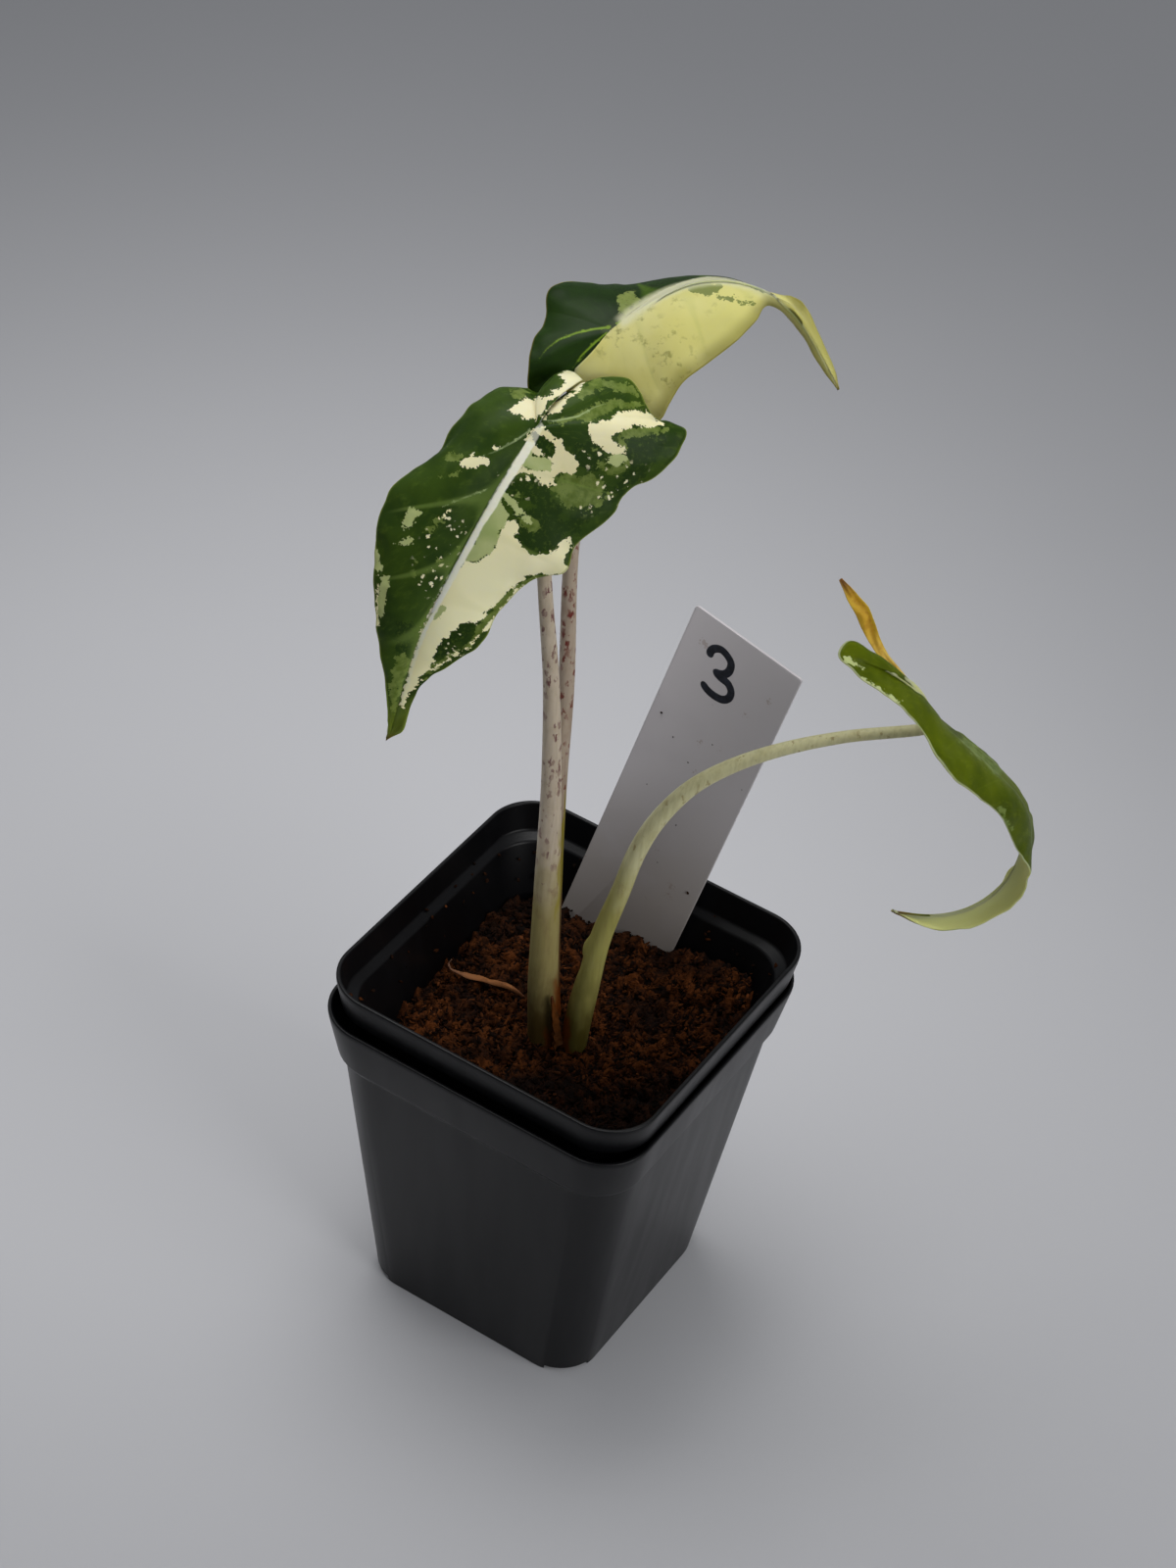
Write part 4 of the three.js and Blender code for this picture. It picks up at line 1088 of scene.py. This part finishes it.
FRONT_TINTS = dict(
    green=rgb(54, 77, 18), green2=rgb(38, 61, 14), streak=rgb(84, 106, 32), deep=rgb(32, 54, 12),
    grey=rgb(88, 106, 38), grey2=rgb(112, 128, 62), pale=rgb(192, 199, 144), pale2=rgb(164, 176, 114),
    cream=rgb(232, 225, 188), cream2=rgb(226, 217, 172), freckle=rgb(200, 204, 146), freckles=0.4,
    cream_tip=rgb(255, 244, 200), aged=0.95, vein=rgb(126, 150, 70), veins=0.4, line=rgb(166, 182, 130),
    rib=rgb(252, 250, 234), rib2=rgb(242, 240, 214), rib_width=0.75, rib_start=0.01, rib_gone=0.9,
    rib_full=0.55, rib_shift=0.75, rib_wobble=0.4, rib_soft=0.12, rim=rgb(124, 142, 60), rim_share=0.5,
    edge_share=0.15, tip=rgb(116, 130, 40), brown_from=0.96, brown_tip=0.8, under=rgb(120, 138, 84),
    under_share=0.5, ragged=0.7, gloss=0.4)
BACK_TINTS = dict(
    FRONT_TINTS, green=rgb(30, 53, 10), green2=rgb(24, 45, 8), streak=rgb(40, 68, 14), deep=rgb(26, 46, 14),
    grey=rgb(112, 126, 62), grey2=rgb(126, 138, 74), pale=rgb(130, 138, 76), pale2=rgb(114, 124, 64),
    cream=rgb(206, 201, 136), cream2=rgb(198, 192, 118), freckle=rgb(122, 122, 62), freckles=0.7,
    cream_tip=rgb(204, 200, 124), aged=0.7, vein=rgb(96, 128, 30), veins=0.35, line=rgb(126, 156, 40),
    rib=rgb(214, 214, 184), rib2=rgb(202, 200, 156), rib_width=0.2, rib_start=0.05, rib_gone=0.75,
    rib_full=0.35, rib_shift=0.0, rib_soft=1.9, rim=rgb(126, 120, 48), edge_share=0.6, brown_tip=0.3,
    ragged=0.3)
RIGHT_TINTS = dict(
    FRONT_TINTS, green=rgb(82, 95, 4), green2=rgb(62, 76, 3), streak=rgb(110, 122, 18), deep=rgb(44, 62, 8),
    vein=rgb(104, 120, 24), veins=0.2, rib=rgb(110, 124, 36), rib2=rgb(96, 112, 28), rib_width=0.4,
    rib_gone=0.7, rib_full=0.3, rib_shift=0.0, rim=rgb(188, 196, 156), rim_share=0.6, edge_share=0.0,
    brown_from=0.9, brown_tip=1.0, under=rgb(200, 202, 136), under_share=0.95)

# Outlines of the markings, of painted highlights and of the holes in them, where they show in the camera's
# view

DARK_ISLE = [
    (543, 442), (548, 440), (552, 445), (558, 447), (564, 449), (567, 455), (565, 464), (560, 466),
    (555, 463), (552, 459), (546, 455), (543, 449),
]
PALE_ISLE = [
    (532, 465), (541, 460), (546, 465), (557, 466), (563, 472), (561, 479), (553, 480), (542, 479),
    (533, 475),
]
FRONT_MARKS = {
    "cream": ([
        [(519, 420), (524, 415), (528, 412), (538, 407), (548, 408), (558, 405), (570, 398), (576, 392),
         (572, 384), (575, 380), (580, 377), (588, 377), (595, 381), (599, 388), (592, 396), (582, 401),
         (573, 404), (564, 408), (557, 414), (551, 422), (546, 428), (538, 428), (530, 424), (524, 422)],
        [(555, 427), (558, 420), (564, 413), (572, 408), (582, 404), (592, 397), (590, 402), (582, 408),
         (575, 415), (572, 420), (564, 424)],
        [(541, 439), (548, 436), (558, 438), (568, 444), (574, 450), (578, 460), (584, 464), (589, 474),
         (588, 482), (578, 481), (570, 482), (566, 488), (567, 494), (561, 497), (554, 492), (546, 487),
         (538, 484), (530, 483), (526, 484), (524, 481), (529, 475), (530, 468), (535, 459), (538, 446)],
        [(601, 434), (610, 432), (622, 429), (630, 421), (642, 420), (656, 419), (666, 426), (677, 433),
         (678, 435), (658, 435), (646, 436), (637, 438), (630, 441), (624, 445), (625, 449), (630, 453),
         (636, 458), (637, 462), (626, 464), (619, 463), (615, 456), (609, 452), (602, 448), (600, 442)],
        [(519, 530), (524, 528), (528, 533), (528, 542), (527, 548), (530, 556), (536, 561), (546, 564),
         (558, 564), (566, 560), (572, 552), (582, 547), (582, 558), (576, 566), (578, 582), (574, 586),
         (568, 586), (558, 583), (546, 585), (536, 589), (528, 595), (520, 601), (512, 607), (505, 615),
         (498, 623), (492, 629), (486, 637), (483, 636), (480, 634), (472, 635), (466, 639), (461, 646),
         (452, 654), (444, 664), (441, 671), (446, 673), (442, 676), (436, 682), (430, 690), (426, 698),
         (420, 702), (416, 710), (412, 722), (408, 718), (410, 710), (414, 694), (419, 680), (423, 668),
         (426, 656), (429, 646), (433, 635), (439, 623), (446, 609), (456, 595), (466, 581), (475, 572),
         (486, 574), (498, 566), (506, 558), (508, 550), (510, 542), (515, 533)],
        [(386, 585), (388, 588), (388, 602), (387, 618), (387, 632), (385, 646), (384, 626), (385, 606)],
        [(471, 472), (475, 467), (486, 464), (491, 467), (500, 468), (498, 473), (488, 476), (480, 478),
         (475, 476)],
        [(499, 456), (508, 455), (511, 457), (504, 459)],
        [(448, 527), (459, 518), (460, 521), (452, 529)],
        [(538, 594), (546, 591), (555, 589), (546, 594), (533, 602), (524, 612), (512, 626), (502, 637),
         (492, 648), (482, 656), (480, 655), (490, 645), (500, 634), (510, 623), (520, 609), (530, 600)],
        [(464, 667), (475, 660), (477, 661), (468, 668), (452, 677), (440, 684), (440, 682), (452, 675)],
    ], [
        DARK_ISLE,
        PALE_ISLE,
    ]),
    "pale": ([
        PALE_ISLE,
        [(381, 558), (386, 555), (388, 570), (391, 582), (385, 584), (382, 574)],
        [(388, 586), (398, 588), (397, 602), (394, 618), (389, 634), (387, 632), (387, 610)],
        [(620, 464), (636, 464), (639, 468), (632, 474), (620, 474)],
        [(503, 508), (508, 504), (512, 509), (516, 519), (522, 525), (516, 531), (511, 541), (508, 550),
         (505, 558), (498, 565), (486, 573), (476, 571), (482, 558), (489, 543), (495, 528), (499, 516)],
        [(508, 497), (514, 499), (524, 509), (532, 519), (541, 531), (544, 536), (540, 536), (528, 524),
         (518, 512), (510, 506)],
        [(445, 620), (452, 616), (455, 620), (450, 630), (444, 631)],
        [(455, 589), (463, 582), (464, 586), (459, 596)],
        [(412, 531), (419, 517), (422, 515), (424, 520), (430, 522), (425, 527), (422, 534), (417, 542),
         (411, 543)],
        [(404, 555), (411, 550), (420, 548), (424, 549), (424, 552), (416, 555), (409, 557)],
    ], []),
    "grey": ([
        [(560, 498), (567, 495), (568, 488), (573, 482), (586, 483), (594, 486), (602, 482), (610, 485),
         (615, 490), (612, 501), (610, 508), (620, 506), (622, 500), (626, 502), (614, 514), (606, 517),
         (594, 516), (588, 519), (580, 519), (574, 515), (570, 508), (564, 502)],
        [(627, 445), (635, 439), (646, 437), (666, 435), (682, 438), (678, 441), (666, 442), (656, 446),
         (647, 446), (642, 444), (636, 448), (639, 456), (635, 460), (631, 452)],
        [(561, 431), (578, 428), (594, 420), (610, 412), (626, 408), (650, 410), (656, 415), (646, 418),
         (630, 417), (619, 424), (602, 431), (592, 430), (578, 432), (566, 433)],
        [(594, 394), (610, 388), (626, 388), (646, 397), (652, 405), (642, 405), (632, 399), (618, 396),
         (604, 402), (591, 408), (586, 404)],
        [(529, 528), (538, 527), (548, 531), (552, 538), (548, 543), (538, 541), (532, 536)],
        [(452, 466), (460, 459), (468, 463), (475, 466), (470, 470), (460, 470), (452, 469)],
        [(430, 542), (440, 535), (452, 524), (458, 518), (461, 519), (454, 528), (442, 540), (432, 545)],
        [(446, 486), (458, 484), (470, 481), (469, 485), (456, 488), (447, 489)],
        [(400, 686), (404, 668), (412, 666), (418, 674), (416, 687), (408, 698), (405, 714), (402, 730),
         (398, 714)],
        [(610, 470), (620, 475), (632, 476), (640, 470), (642, 475), (630, 486), (619, 486), (612, 479)],
        [(520, 399), (534, 397), (540, 402), (530, 408), (522, 406)],
        [(568, 586), (558, 584), (546, 586), (536, 590), (528, 596), (520, 602), (512, 608), (506, 616),
         (499, 624), (492, 631), (486, 638), (483, 646), (475, 658), (460, 668), (448, 673), (440, 679),
         (430, 690), (433, 691), (443, 684), (452, 678), (466, 668), (478, 660), (490, 650), (500, 639),
         (510, 626), (520, 612), (530, 603), (542, 594), (554, 588)],
    ], []),
    "deep": ([
        [(514, 480), (522, 476), (530, 481), (542, 484), (552, 490), (560, 498), (563, 508), (570, 516),
         (576, 519), (571, 526), (578, 532), (579, 542), (572, 552), (566, 560), (558, 564), (546, 564),
         (536, 561), (530, 556), (527, 548), (528, 542), (525, 534), (528, 529), (522, 522), (529, 519),
         (538, 521), (546, 519), (542, 510), (530, 508), (520, 502), (514, 490)],
        DARK_ISLE,
        [(583, 492), (588, 490), (594, 492), (600, 493), (599, 500), (594, 504), (589, 500), (584, 496)],
        [(588, 452), (600, 448), (610, 452), (619, 463), (619, 475), (610, 480), (594, 478), (589, 472),
         (586, 464)],
        [(636, 448), (646, 447), (656, 447), (667, 443), (682, 443), (674, 462), (658, 484), (638, 498),
         (618, 514), (594, 538), (582, 546), (579, 530), (588, 521), (610, 518), (626, 504), (630, 490),
         (642, 476), (640, 466)],
        [(441, 671), (444, 664), (452, 654), (461, 646), (466, 639), (472, 635), (480, 634), (483, 637),
         (481, 644), (475, 650), (466, 655), (460, 660), (456, 666), (448, 672)],
        [(408, 630), (424, 638), (423, 650), (414, 666), (404, 667), (404, 650)],
    ], []),
    "line": ([
        [(541, 437), (524, 449), (504, 460), (480, 470), (505, 462), (526, 451), (543, 439)],
        [(498, 497), (484, 502), (464, 510), (448, 518), (466, 512), (486, 504), (498, 500)],
        [(549, 429), (566, 428), (588, 424), (606, 415), (624, 410), (606, 417), (590, 427), (568, 431)],
    ], []),
    "spray": ([
        [(452, 524), (470, 528), (475, 542), (470, 558), (460, 570), (452, 586), (452, 602), (438, 606),
         (424, 594), (422, 576), (430, 558), (436, 540)],
        [(510, 482), (530, 476), (546, 486), (546, 502), (530, 510), (518, 502)],
        [(594, 456), (618, 456), (620, 475), (600, 475)],
        [(606, 486), (634, 470), (658, 478), (650, 494), (626, 514), (594, 524), (586, 519), (610, 508)],
        [(444, 668), (470, 636), (482, 638), (478, 650), (456, 667)],
    ], []),
}
BACK_MARKS = {
    "line": ([
        [(624, 332), (606, 335), (588, 339), (570, 346), (557, 356), (549, 368), (559, 357), (572, 348),
         (589, 342), (607, 338), (624, 336)],
        [(628, 330), (640, 322), (654, 310), (664, 299), (657, 309), (643, 323), (630, 333)],
        [(620, 338), (604, 350), (592, 362), (584, 376), (595, 363), (607, 352), (621, 340)],
    ], []),
    "grey": ([
        [(630, 302), (648, 300), (652, 305), (648, 312), (640, 318), (634, 322), (632, 316)],
    ], []),
    "pale": ([
        [(700, 294), (708, 289), (722, 288), (738, 293), (733, 300), (720, 303), (708, 300)],
        [(728, 303), (745, 303), (770, 310), (770, 314), (745, 308)],
    ], []),
}
# The right blade's pale and grey outlines are painted highlights: whitish lines along the upper lobe's edges,
# and brighter strips lower on the blade.
RIGHT_HIGHLIGHTS = {
    "pale": ([
        [(857, 670), (864, 671), (878, 680), (886, 685), (876, 682), (862, 675)],
        [(878, 692), (900, 702), (918, 716), (915, 719), (898, 708)],
    ], []),
    "grey": ([
        [(978, 757), (986, 753), (1022, 786), (1018, 793)],
        [(1018, 822), (1024, 826), (1032, 846), (1026, 846)],
    ], []),
}


# Dried bits: [x, y, z, half width, half thickness, turn]

DRY_LOBE = [
    (52.1, 27.5, 155.3, 0.45, 0.35, 0), (51.3, 25.4, 158.3, 0.6, 0.4, -5), (49.3, 24.3, 160.8, 0.7, 0.4, -12),
    (46.4, 23.4, 163.6, 0.75, 0.4, -20), (43.3, 23.4, 165.7, 0.8, 0.4, -30), (41, 23.5, 168, 1, 0.35, -38),
    (39.2, 23.3, 170.9, 1.35, 0.35, -43), (37.6, 23, 173.7, 1.35, 0.35, -43),
    (35.5, 22.4, 176.3, 1, 0.35, -48), (33.3, 21.8, 179, 0.35, 0.35, -55),
]
DRY_SHEATH = [
    (2.5, -4.8, 65, 1.5, 0.35, 0), (2.2, -5.1, 68.5, 1.4, 0.35, 5), (1.7, -5.7, 73, 1.1, 0.35, 8),
    (1.1, -6.4, 79, 0.4, 0.3, 10),
]
SCRAP_OVER_SOIL = [
    (-26.9, 1.9, 3.0, 0.14, 0.2, 0), (-27.1, 1.2, 2.2, 0.18, 0.24, 0), (-26.2, 0.6, 1.5, 0.24, 0.28, 0),
    (-24.6, 0.2, 1.4, 0.3, 0.3, 0), (-22.9, 1, 1.4, 0.9, 0.35, 15), (-17.5, 1.6, 1.6, 1.1, 0.35, 35),
    (-13.6, 2.4, 1.6, 0.6, 0.35, 60), (-10, 2.6, 1.2, 0.25, 0.3, 80),
]
DRY_SCRAP = [(x, y, soil_height(x, y) + lift, *rest) for x, y, lift, *rest in SCRAP_OVER_SOIL]
RIBBON_STEPS = 90
RIBBON_POINTS = 14  # across each of its two faces


def make_ribbon(name, rows, cup, crinkle, material):
    """A thin dried ribbon along a route, cupped across and crinkled."""
    route = Route(rows)
    side = TOWARD_FRONT
    shares = np.linspace(1, -1, RIBBON_POINTS)
    outline = [(s, 1) for s in shares] + [(s, -1) for s in np.linspace(-1, 1, RIBBON_POINTS)]
    rings, along, beside = [], [], []
    for step in range(RIBBON_STEPS + 1):
        t = step / RIBBON_STEPS
        way = route.along(t)
        side = unit(side - way * (side @ way))
        up = np.cross(way, side)
        half, thick, turn = (between(rows, column, t) for column in (3, 4, 5))
        spin = math.radians(turn)
        flat = side * math.cos(spin) + up * math.sin(spin)
        out = up * math.cos(spin) - side * math.sin(spin)
        ring = []
        for s, face in outline:
            wave = crinkle * noise.noise(Vector((s * 1.3, t * 9, rows[0][0])))
            curl = cup * half * (s * s - 0.4)
            rim = math.sqrt(max(0.0, 1 - s * s * 0.96))
            ring.append(route.at(t) + flat * half * s + out * (curl + wave * half + face * 0.5 * thick * rim))
            along.append(t)
            beside.append(abs(s))
        rings.append(ring)
    points, faces = skin(rings)
    piece(name, points, faces, material, [name], {"along": along + [0, 1], "beside": beside + [0, 0]})


def dry_skin(low, high, tip, spots):
    """Dried tissue from its foot, low, through high to its tip, with darker spots and rims."""

    def build(tree):
        where = place(tree)
        along = field(tree, "along")
        color = mixed(fade(along, 0.2, 0.7), low, high)
        color = mixed(fade(along, 0.86, 1.0), color, tip)
        color = mixed(fade(cloud(where, 700, 4.0, 0.6), 0.48, 0.7, 0.0, 0.6), color, spots)
        color = mixed(fade(field(tree, "beside"), 0.75, 1.0, 0.0, 0.4), color, spots)
        return {"Base Color": color, "Normal": use(RELIEF, where, Scale=1200.0, Depth=0.12)}

    return build


# Label

LABEL = dict(width=25, length=94, thickness=0.6, top=(9.4, 39.1, 141.5), along=(0.19, 0.137, 0.972),
             across=(0.98, -0.055, -0.185))
LABEL_CORNER = 0.7
LABEL_EDGE = 0.09
label_along = unit(np.array(LABEL["along"]))
label_across = np.array(LABEL["across"])
label_across = unit(label_across - label_along * (label_across @ label_along))
label_through = np.cross(label_along, label_across)
label_middle = np.array(LABEL["top"]) - label_along * LABEL["length"] / 2


def on_label(across, along, through=0.0):
    """A point from the label's middle: across it, up along it, and out of its back face."""
    return label_middle + label_across * across + label_along * along + label_through * through


def seen_on_label(px, py):
    """The place on the label's front, across and along, that shows at a point of the view."""
    ray = (CAMERA_RIGHT * (px - VIEW_WIDTH / 2) - CAMERA_UP * (py - VIEW_HEIGHT / 2)) / FOCAL - CAMERA_BACK
    front = on_label(0, 0, -LABEL["thickness"] / 2)
    hit = CAMERA_AT + ray * ((front - CAMERA_AT) @ label_through) / (ray @ label_through)
    return (hit - label_middle) @ label_across, (hit - label_middle) @ label_along


def make_label(material):
    mesh = bpy.data.meshes.new("label")
    plate = bmesh.new()
    size = (LABEL["width"] * MM, LABEL["thickness"] * MM, LABEL["length"] * MM)
    bmesh.ops.create_cube(plate, size=1, matrix=Matrix.Diagonal((*size, 1)))
    corners = [e for e in plate.edges if abs(e.verts[0].co.y - e.verts[1].co.y) > size[1] * 0.5]
    bmesh.ops.bevel(plate, geom=corners, offset=LABEL_CORNER * MM, segments=6, affect="EDGES", profile=0.5)
    rims = [e for e in plate.edges if abs(e.verts[0].co.y - e.verts[1].co.y) < 1e-7]
    bmesh.ops.bevel(plate, geom=rims, offset=LABEL_EDGE * MM, segments=2, affect="EDGES", profile=0.5)
    axes = Matrix([label_across, label_through, label_along]).transposed().to_4x4()
    bmesh.ops.transform(plate, matrix=Matrix.Translation(label_middle * MM) @ axes, verts=plate.verts)
    plate.to_mesh(mesh)
    plate.free()
    dress("label", mesh, material, ["label"])
    mesh.set_sharp_from_angle(angle=math.radians(35))


NUMERAL = [
    [(725, 671), (725, 665), (729, 662), (736, 663), (742, 669), (746, 677), (744, 685), (739, 688),
     (733, 687), (728, 684)],
    [(728, 683), (735, 691), (743, 698), (746, 706), (744, 712), (738, 714), (729, 710), (721, 703),
     (716, 695)],
]
STROKE_HALF = 0.8
STROKE_STEPS = 120
STROKE_SIDES = 8
SPECKS_SEEN_AT = [(675, 727, 0.2), (687, 752, 0.15), (702, 778, 0.13), (727, 760, 0.12), (643, 866, 0.2),
                  (702, 911, 0.28), (660, 800, 0.1), (690, 842, 0.12), (757, 806, 0.1), (671, 880, 0.1)]
SPECKS_SEED = 5  # noise vectors come from a seed


def make_numeral(material):
    """A marker's numeral: two flat strokes that lie on the label's front."""
    points, faces = np.empty((0, 3)), []
    for number, stroke in enumerate(NUMERAL):
        route = Route([(*seen_on_label(*point), 0) for point in stroke])
        rings = []
        for t in np.linspace(0, 1, STROKE_STEPS):
            x, z, _ = route.at(t)
            way = route.along(t)
            left = np.array([-way[1], way[0]])
            end = min(t, 1 - t) * 12
            round_end = math.sqrt(max(0.0, 1 - (1 - min(end, 1)) ** 2)) + 0.02
            half = STROKE_HALF * round_end * (1 + 0.04 * math.sin(t * 11))
            ring = []
            for i in range(STROKE_SIDES):
                angle = 2 * math.pi * i / STROKE_SIDES
                off = left * half * math.cos(angle)
                depth = -LABEL["thickness"] / 2 - 0.01 - 0.006 * number + 0.03 * math.sin(angle)
                ring.append(on_label(x + off[0], z + off[1], depth))
            rings.append(ring)
        more, corners = skin(rings)
        faces += [tuple(corner + len(points) for corner in face) for face in corners]
        points = np.vstack([points, more])
    piece("label_numeral", points, faces, material)


def make_label_specks(material):
    """Crumbs of compost that stick to the label."""
    noise.seed_set(SPECKS_SEED)
    specks = bmesh.new()
    for k, (px, py, size) in enumerate(SPECKS_SEEN_AT):
        x, z = seen_on_label(px, py)
        where = Vector(on_label(x, z, -LABEL["thickness"] / 2 - size * 0.3)) * MM
        turned = Matrix.Translation(where) @ Matrix.Rotation(k * 1.7, 4, "Z")
        squeezed = turned @ Matrix.Diagonal((1.3, 0.8, 1, 1))
        bmesh.ops.create_icosphere(specks, subdivisions=2, radius=size * MM, matrix=squeezed)
    for vertex in specks.verts:
        vertex.co += Vector(noise.noise_vector(vertex.co * 3500)) * 0.07 * MM
    mesh = bpy.data.meshes.new("label specks")
    specks.to_mesh(mesh)
    specks.free()
    tint = mesh.attributes.new("tint", "FLOAT", "POINT")
    tint.data.foreach_set("value", [0.35] * len(mesh.vertices))
    dress("label_specks", mesh, material)


def white_plastic(tree):
    where = place(tree)
    smudge = fade(cloud(where, 60, 4.0), 0.45, 0.75, 0.0, 0.5)
    color = mixed(smudge, rgb(200, 195, 197), rgb(187, 182, 185))
    # The lower end is painted darker and browner: painted shade.
    height = Value(node(tree, "ShaderNodeSeparateXYZ", {0: where})["Z"])
    wavy_height = height + fade(smudge, 0.0, 0.5, -0.004, 0.004)
    color = mixed(fade(wavy_height, 0.105, 0.066, 0.0, 0.6), color, rgb(150, 140, 126))
    dust = use(FLECKS, where, Scale=260.0, Size=0.1, Share=0.2)
    color = mixed(dust * 0.5, color, rgb(150, 128, 118))
    rough = fade(cloud(where, 200, 3.0), 0.3, 0.7, 0.38, 0.5)
    return {"Base Color": color, "Roughness": rough, "Normal": use(RELIEF, where, Scale=700.0, Depth=0.01)}


def marker_ink(tree):
    where = place(tree)
    color = mixed(fade(cloud(where, 900, 3.0), 0.35, 0.7), rgb(16, 19, 28), rgb(34, 38, 50))
    return {"Base Color": color, "Roughness": fade(cloud(where, 1500, 2.0), 0.3, 0.7, 0.35, 0.6)}


# Floor and light

FLOOR_HALF = 8  # metres
SOFTBOXES = (  # name, place and aim in metres, side in metres, spread in degrees, power in watts
    ("softbox_top", (-0.15, 0.08, 0.5), (-0.1, 0.05, 0), 0.32, 75, 0.36),
    ("softbox_right", (0.8, -0.1, 0.5), (0, 0, 0.1), 0.6, 150, 2.6),
)


def floor_paper(tree):
    color = mixed(fade(cloud(place(tree), 3, 3.0), 0.3, 0.7), rgb(188, 188, 191), rgb(184, 184, 187))
    return {"Base Color": color}


def make_floor():
    far = FLOOR_HALF
    mesh = bpy.data.meshes.new("floor")
    mesh.from_pydata([(-far, -far, 0), (far, -far, 0), (far, far, 0), (-far, far, 0)], [], [(0, 1, 2, 3)])
    mesh.materials.append(finish("floor paper", floor_paper, roughness=0.75, specular=0.2))
    stand("floor", mesh)


def light_studio():
    world = bpy.data.worlds.new("studio")
    world.use_nodes = True
    background = world.node_tree.nodes["Background"].inputs
    background["Color"].default_value = (0.93, 0.96, 1.0, 1)
    background["Strength"].default_value = 0.3
    bpy.context.scene.world = world
    bpy.context.scene.view_settings.view_transform = "Standard"
    for name, at, aim_at, side, spread, power in SOFTBOXES:
        data = bpy.data.lights.new(name, "AREA")
        data.shape = "SQUARE"
        data.size = side
        data.spread = math.radians(spread)
        data.energy = power
        aim = (Vector(aim_at) - Vector(at)).to_track_quat("-Z", "Y")
        stand(name, data).matrix_world = Matrix.Translation(at) @ aim.to_matrix().to_4x4()


# The whole

place_camera()
make_floor()
light_studio()

plastic = finish("black plastic", black_plastic, specular=0.21)
make_pot("outer_pot", OUTER_POT, plastic)
make_pot("inner_pot", INNER_POT, plastic)

peat = finish("compost", compost, specular=0.08)
crumbs = finish("compost crumbs", crumb_brown, roughness=0.9, specular=0.06)
make_soil(peat)

# How many bits lie on a bed and how large they are, in metres
lumps = bits_tree("compost crumbs", crumbs, 1.0, 2)
shreds = bits_tree("compost shreds", crumbs, 3.6, 1)
open_bed = top_bed(lambda x, y: math.hypot(x - STALK_FEET["x"], y - STALK_FEET["y"]) > STALK_FEET["reach"])
scatter("soil_lumps", open_bed, lumps, crumbs,
        Per_Square_Metre=200000.0, Smallest=0.0004, Largest=0.0012, Sunk=0.0006, Seed=4)
scatter("soil_shreds", open_bed, shreds, crumbs,
        Per_Square_Metre=1900000.0, Smallest=0.00015, Largest=0.00055, Sunk=0.0001, Seed=9)
scatter("ledge_crumbs", ledge_bed(), lumps, crumbs,
        Per_Square_Metre=45000.0, Smallest=0.00025, Largest=0.0006, Sunk=0.0, Seed=2)

front_stalk = stalk_skin(
    foot=rgb(62, 42, 6), low=rgb(154, 142, 92), high=rgb(192, 178, 158),
    fleck=rgb(108, 70, 68), fleck_share=0.75, stain=1.4, line=0.7)
back_stalk = stalk_skin(
    foot=rgb(62, 38, 12), low=rgb(120, 96, 62), high=rgb(178, 162, 144),
    fleck=rgb(112, 48, 40), fleck_share=0.85, stain=1.2, line=0.9)
right_stalk = stalk_skin(
    foot=rgb(66, 56, 10), low=rgb(160, 154, 88), high=rgb(200, 196, 154),
    fleck=rgb(150, 134, 92), fleck_share=0.25, stain=1.0, rusty_side=-1)
for name, rows, end, colours, roughness, slot, flaps in (
        ("front", STALK_FRONT, (-10.7, -11.2, 209.1), front_stalk, 0.45, "pale_stalk", ()),
        ("back", STALK_BACK, (-10.4, 9.4, 215.9), back_stalk, 0.45, "pale_stalk", ()),
        ("right", STALK_RIGHT, (53.2, 25.4, 153.6), right_stalk, 0.42, "green_stalk",
         ((0.06, 0.197, -1.0, 0.8), (0.222, 0.25, -1.0, 0.7)))):
    living = finish(name + " stalk", colours, roughness=roughness, specular=0.15, lets_through=0.3)
    make_stalk("stalk_" + name, rows, end, living, flaps)

for name, leaf, marks_and_highlights, tints, specular, slot in (
        ("front", BLADE_FRONT, FRONT_MARKS, FRONT_TINTS, 0.1, "green_leaf"),
        ("back", BLADE_BACK, BACK_MARKS, BACK_TINTS, 0.1, "cream_leaf"),
        ("right", BLADE_RIGHT, RIGHT_HIGHLIGHTS, RIGHT_TINTS, 0.08, "green_leaf")):
    living = finish(name + " leaf", leaf_skin(tints), specular=specular, lets_through=0.6)
    make_blade("blade_" + name, leaf, marks_and_highlights, living)

ochre = dry_skin(low=rgb(206, 178, 96), high=rgb(204, 162, 46), tip=rgb(112, 70, 34), spots=rgb(174, 128, 34))
rusty = dry_skin(low=rgb(74, 40, 10), high=rgb(96, 52, 14), tip=rgb(84, 46, 24), spots=rgb(54, 28, 8))
brown = dry_skin(low=rgb(112, 80, 62), high=rgb(134, 84, 44), tip=rgb(84, 46, 24), spots=rgb(70, 38, 18))
make_ribbon("dry_lobe", DRY_LOBE, 0.35, 0.5,
            finish("ochre lobe", ochre, roughness=0.7, specular=0.3, lets_through=0.5))
make_ribbon("dry_sheath", DRY_SHEATH, 0.5, 0.4,
            finish("rusty sheath", rusty, roughness=0.7, specular=0.15))
make_ribbon("dry_scrap", DRY_SCRAP, 0.6, 0.6,
            finish("brown scrap", brown, roughness=0.75, specular=0.25))

make_label(finish("label plastic", white_plastic, specular=0.5))
make_numeral(finish("marker ink", marker_ink, specular=0.4))
make_label_specks(crumbs)
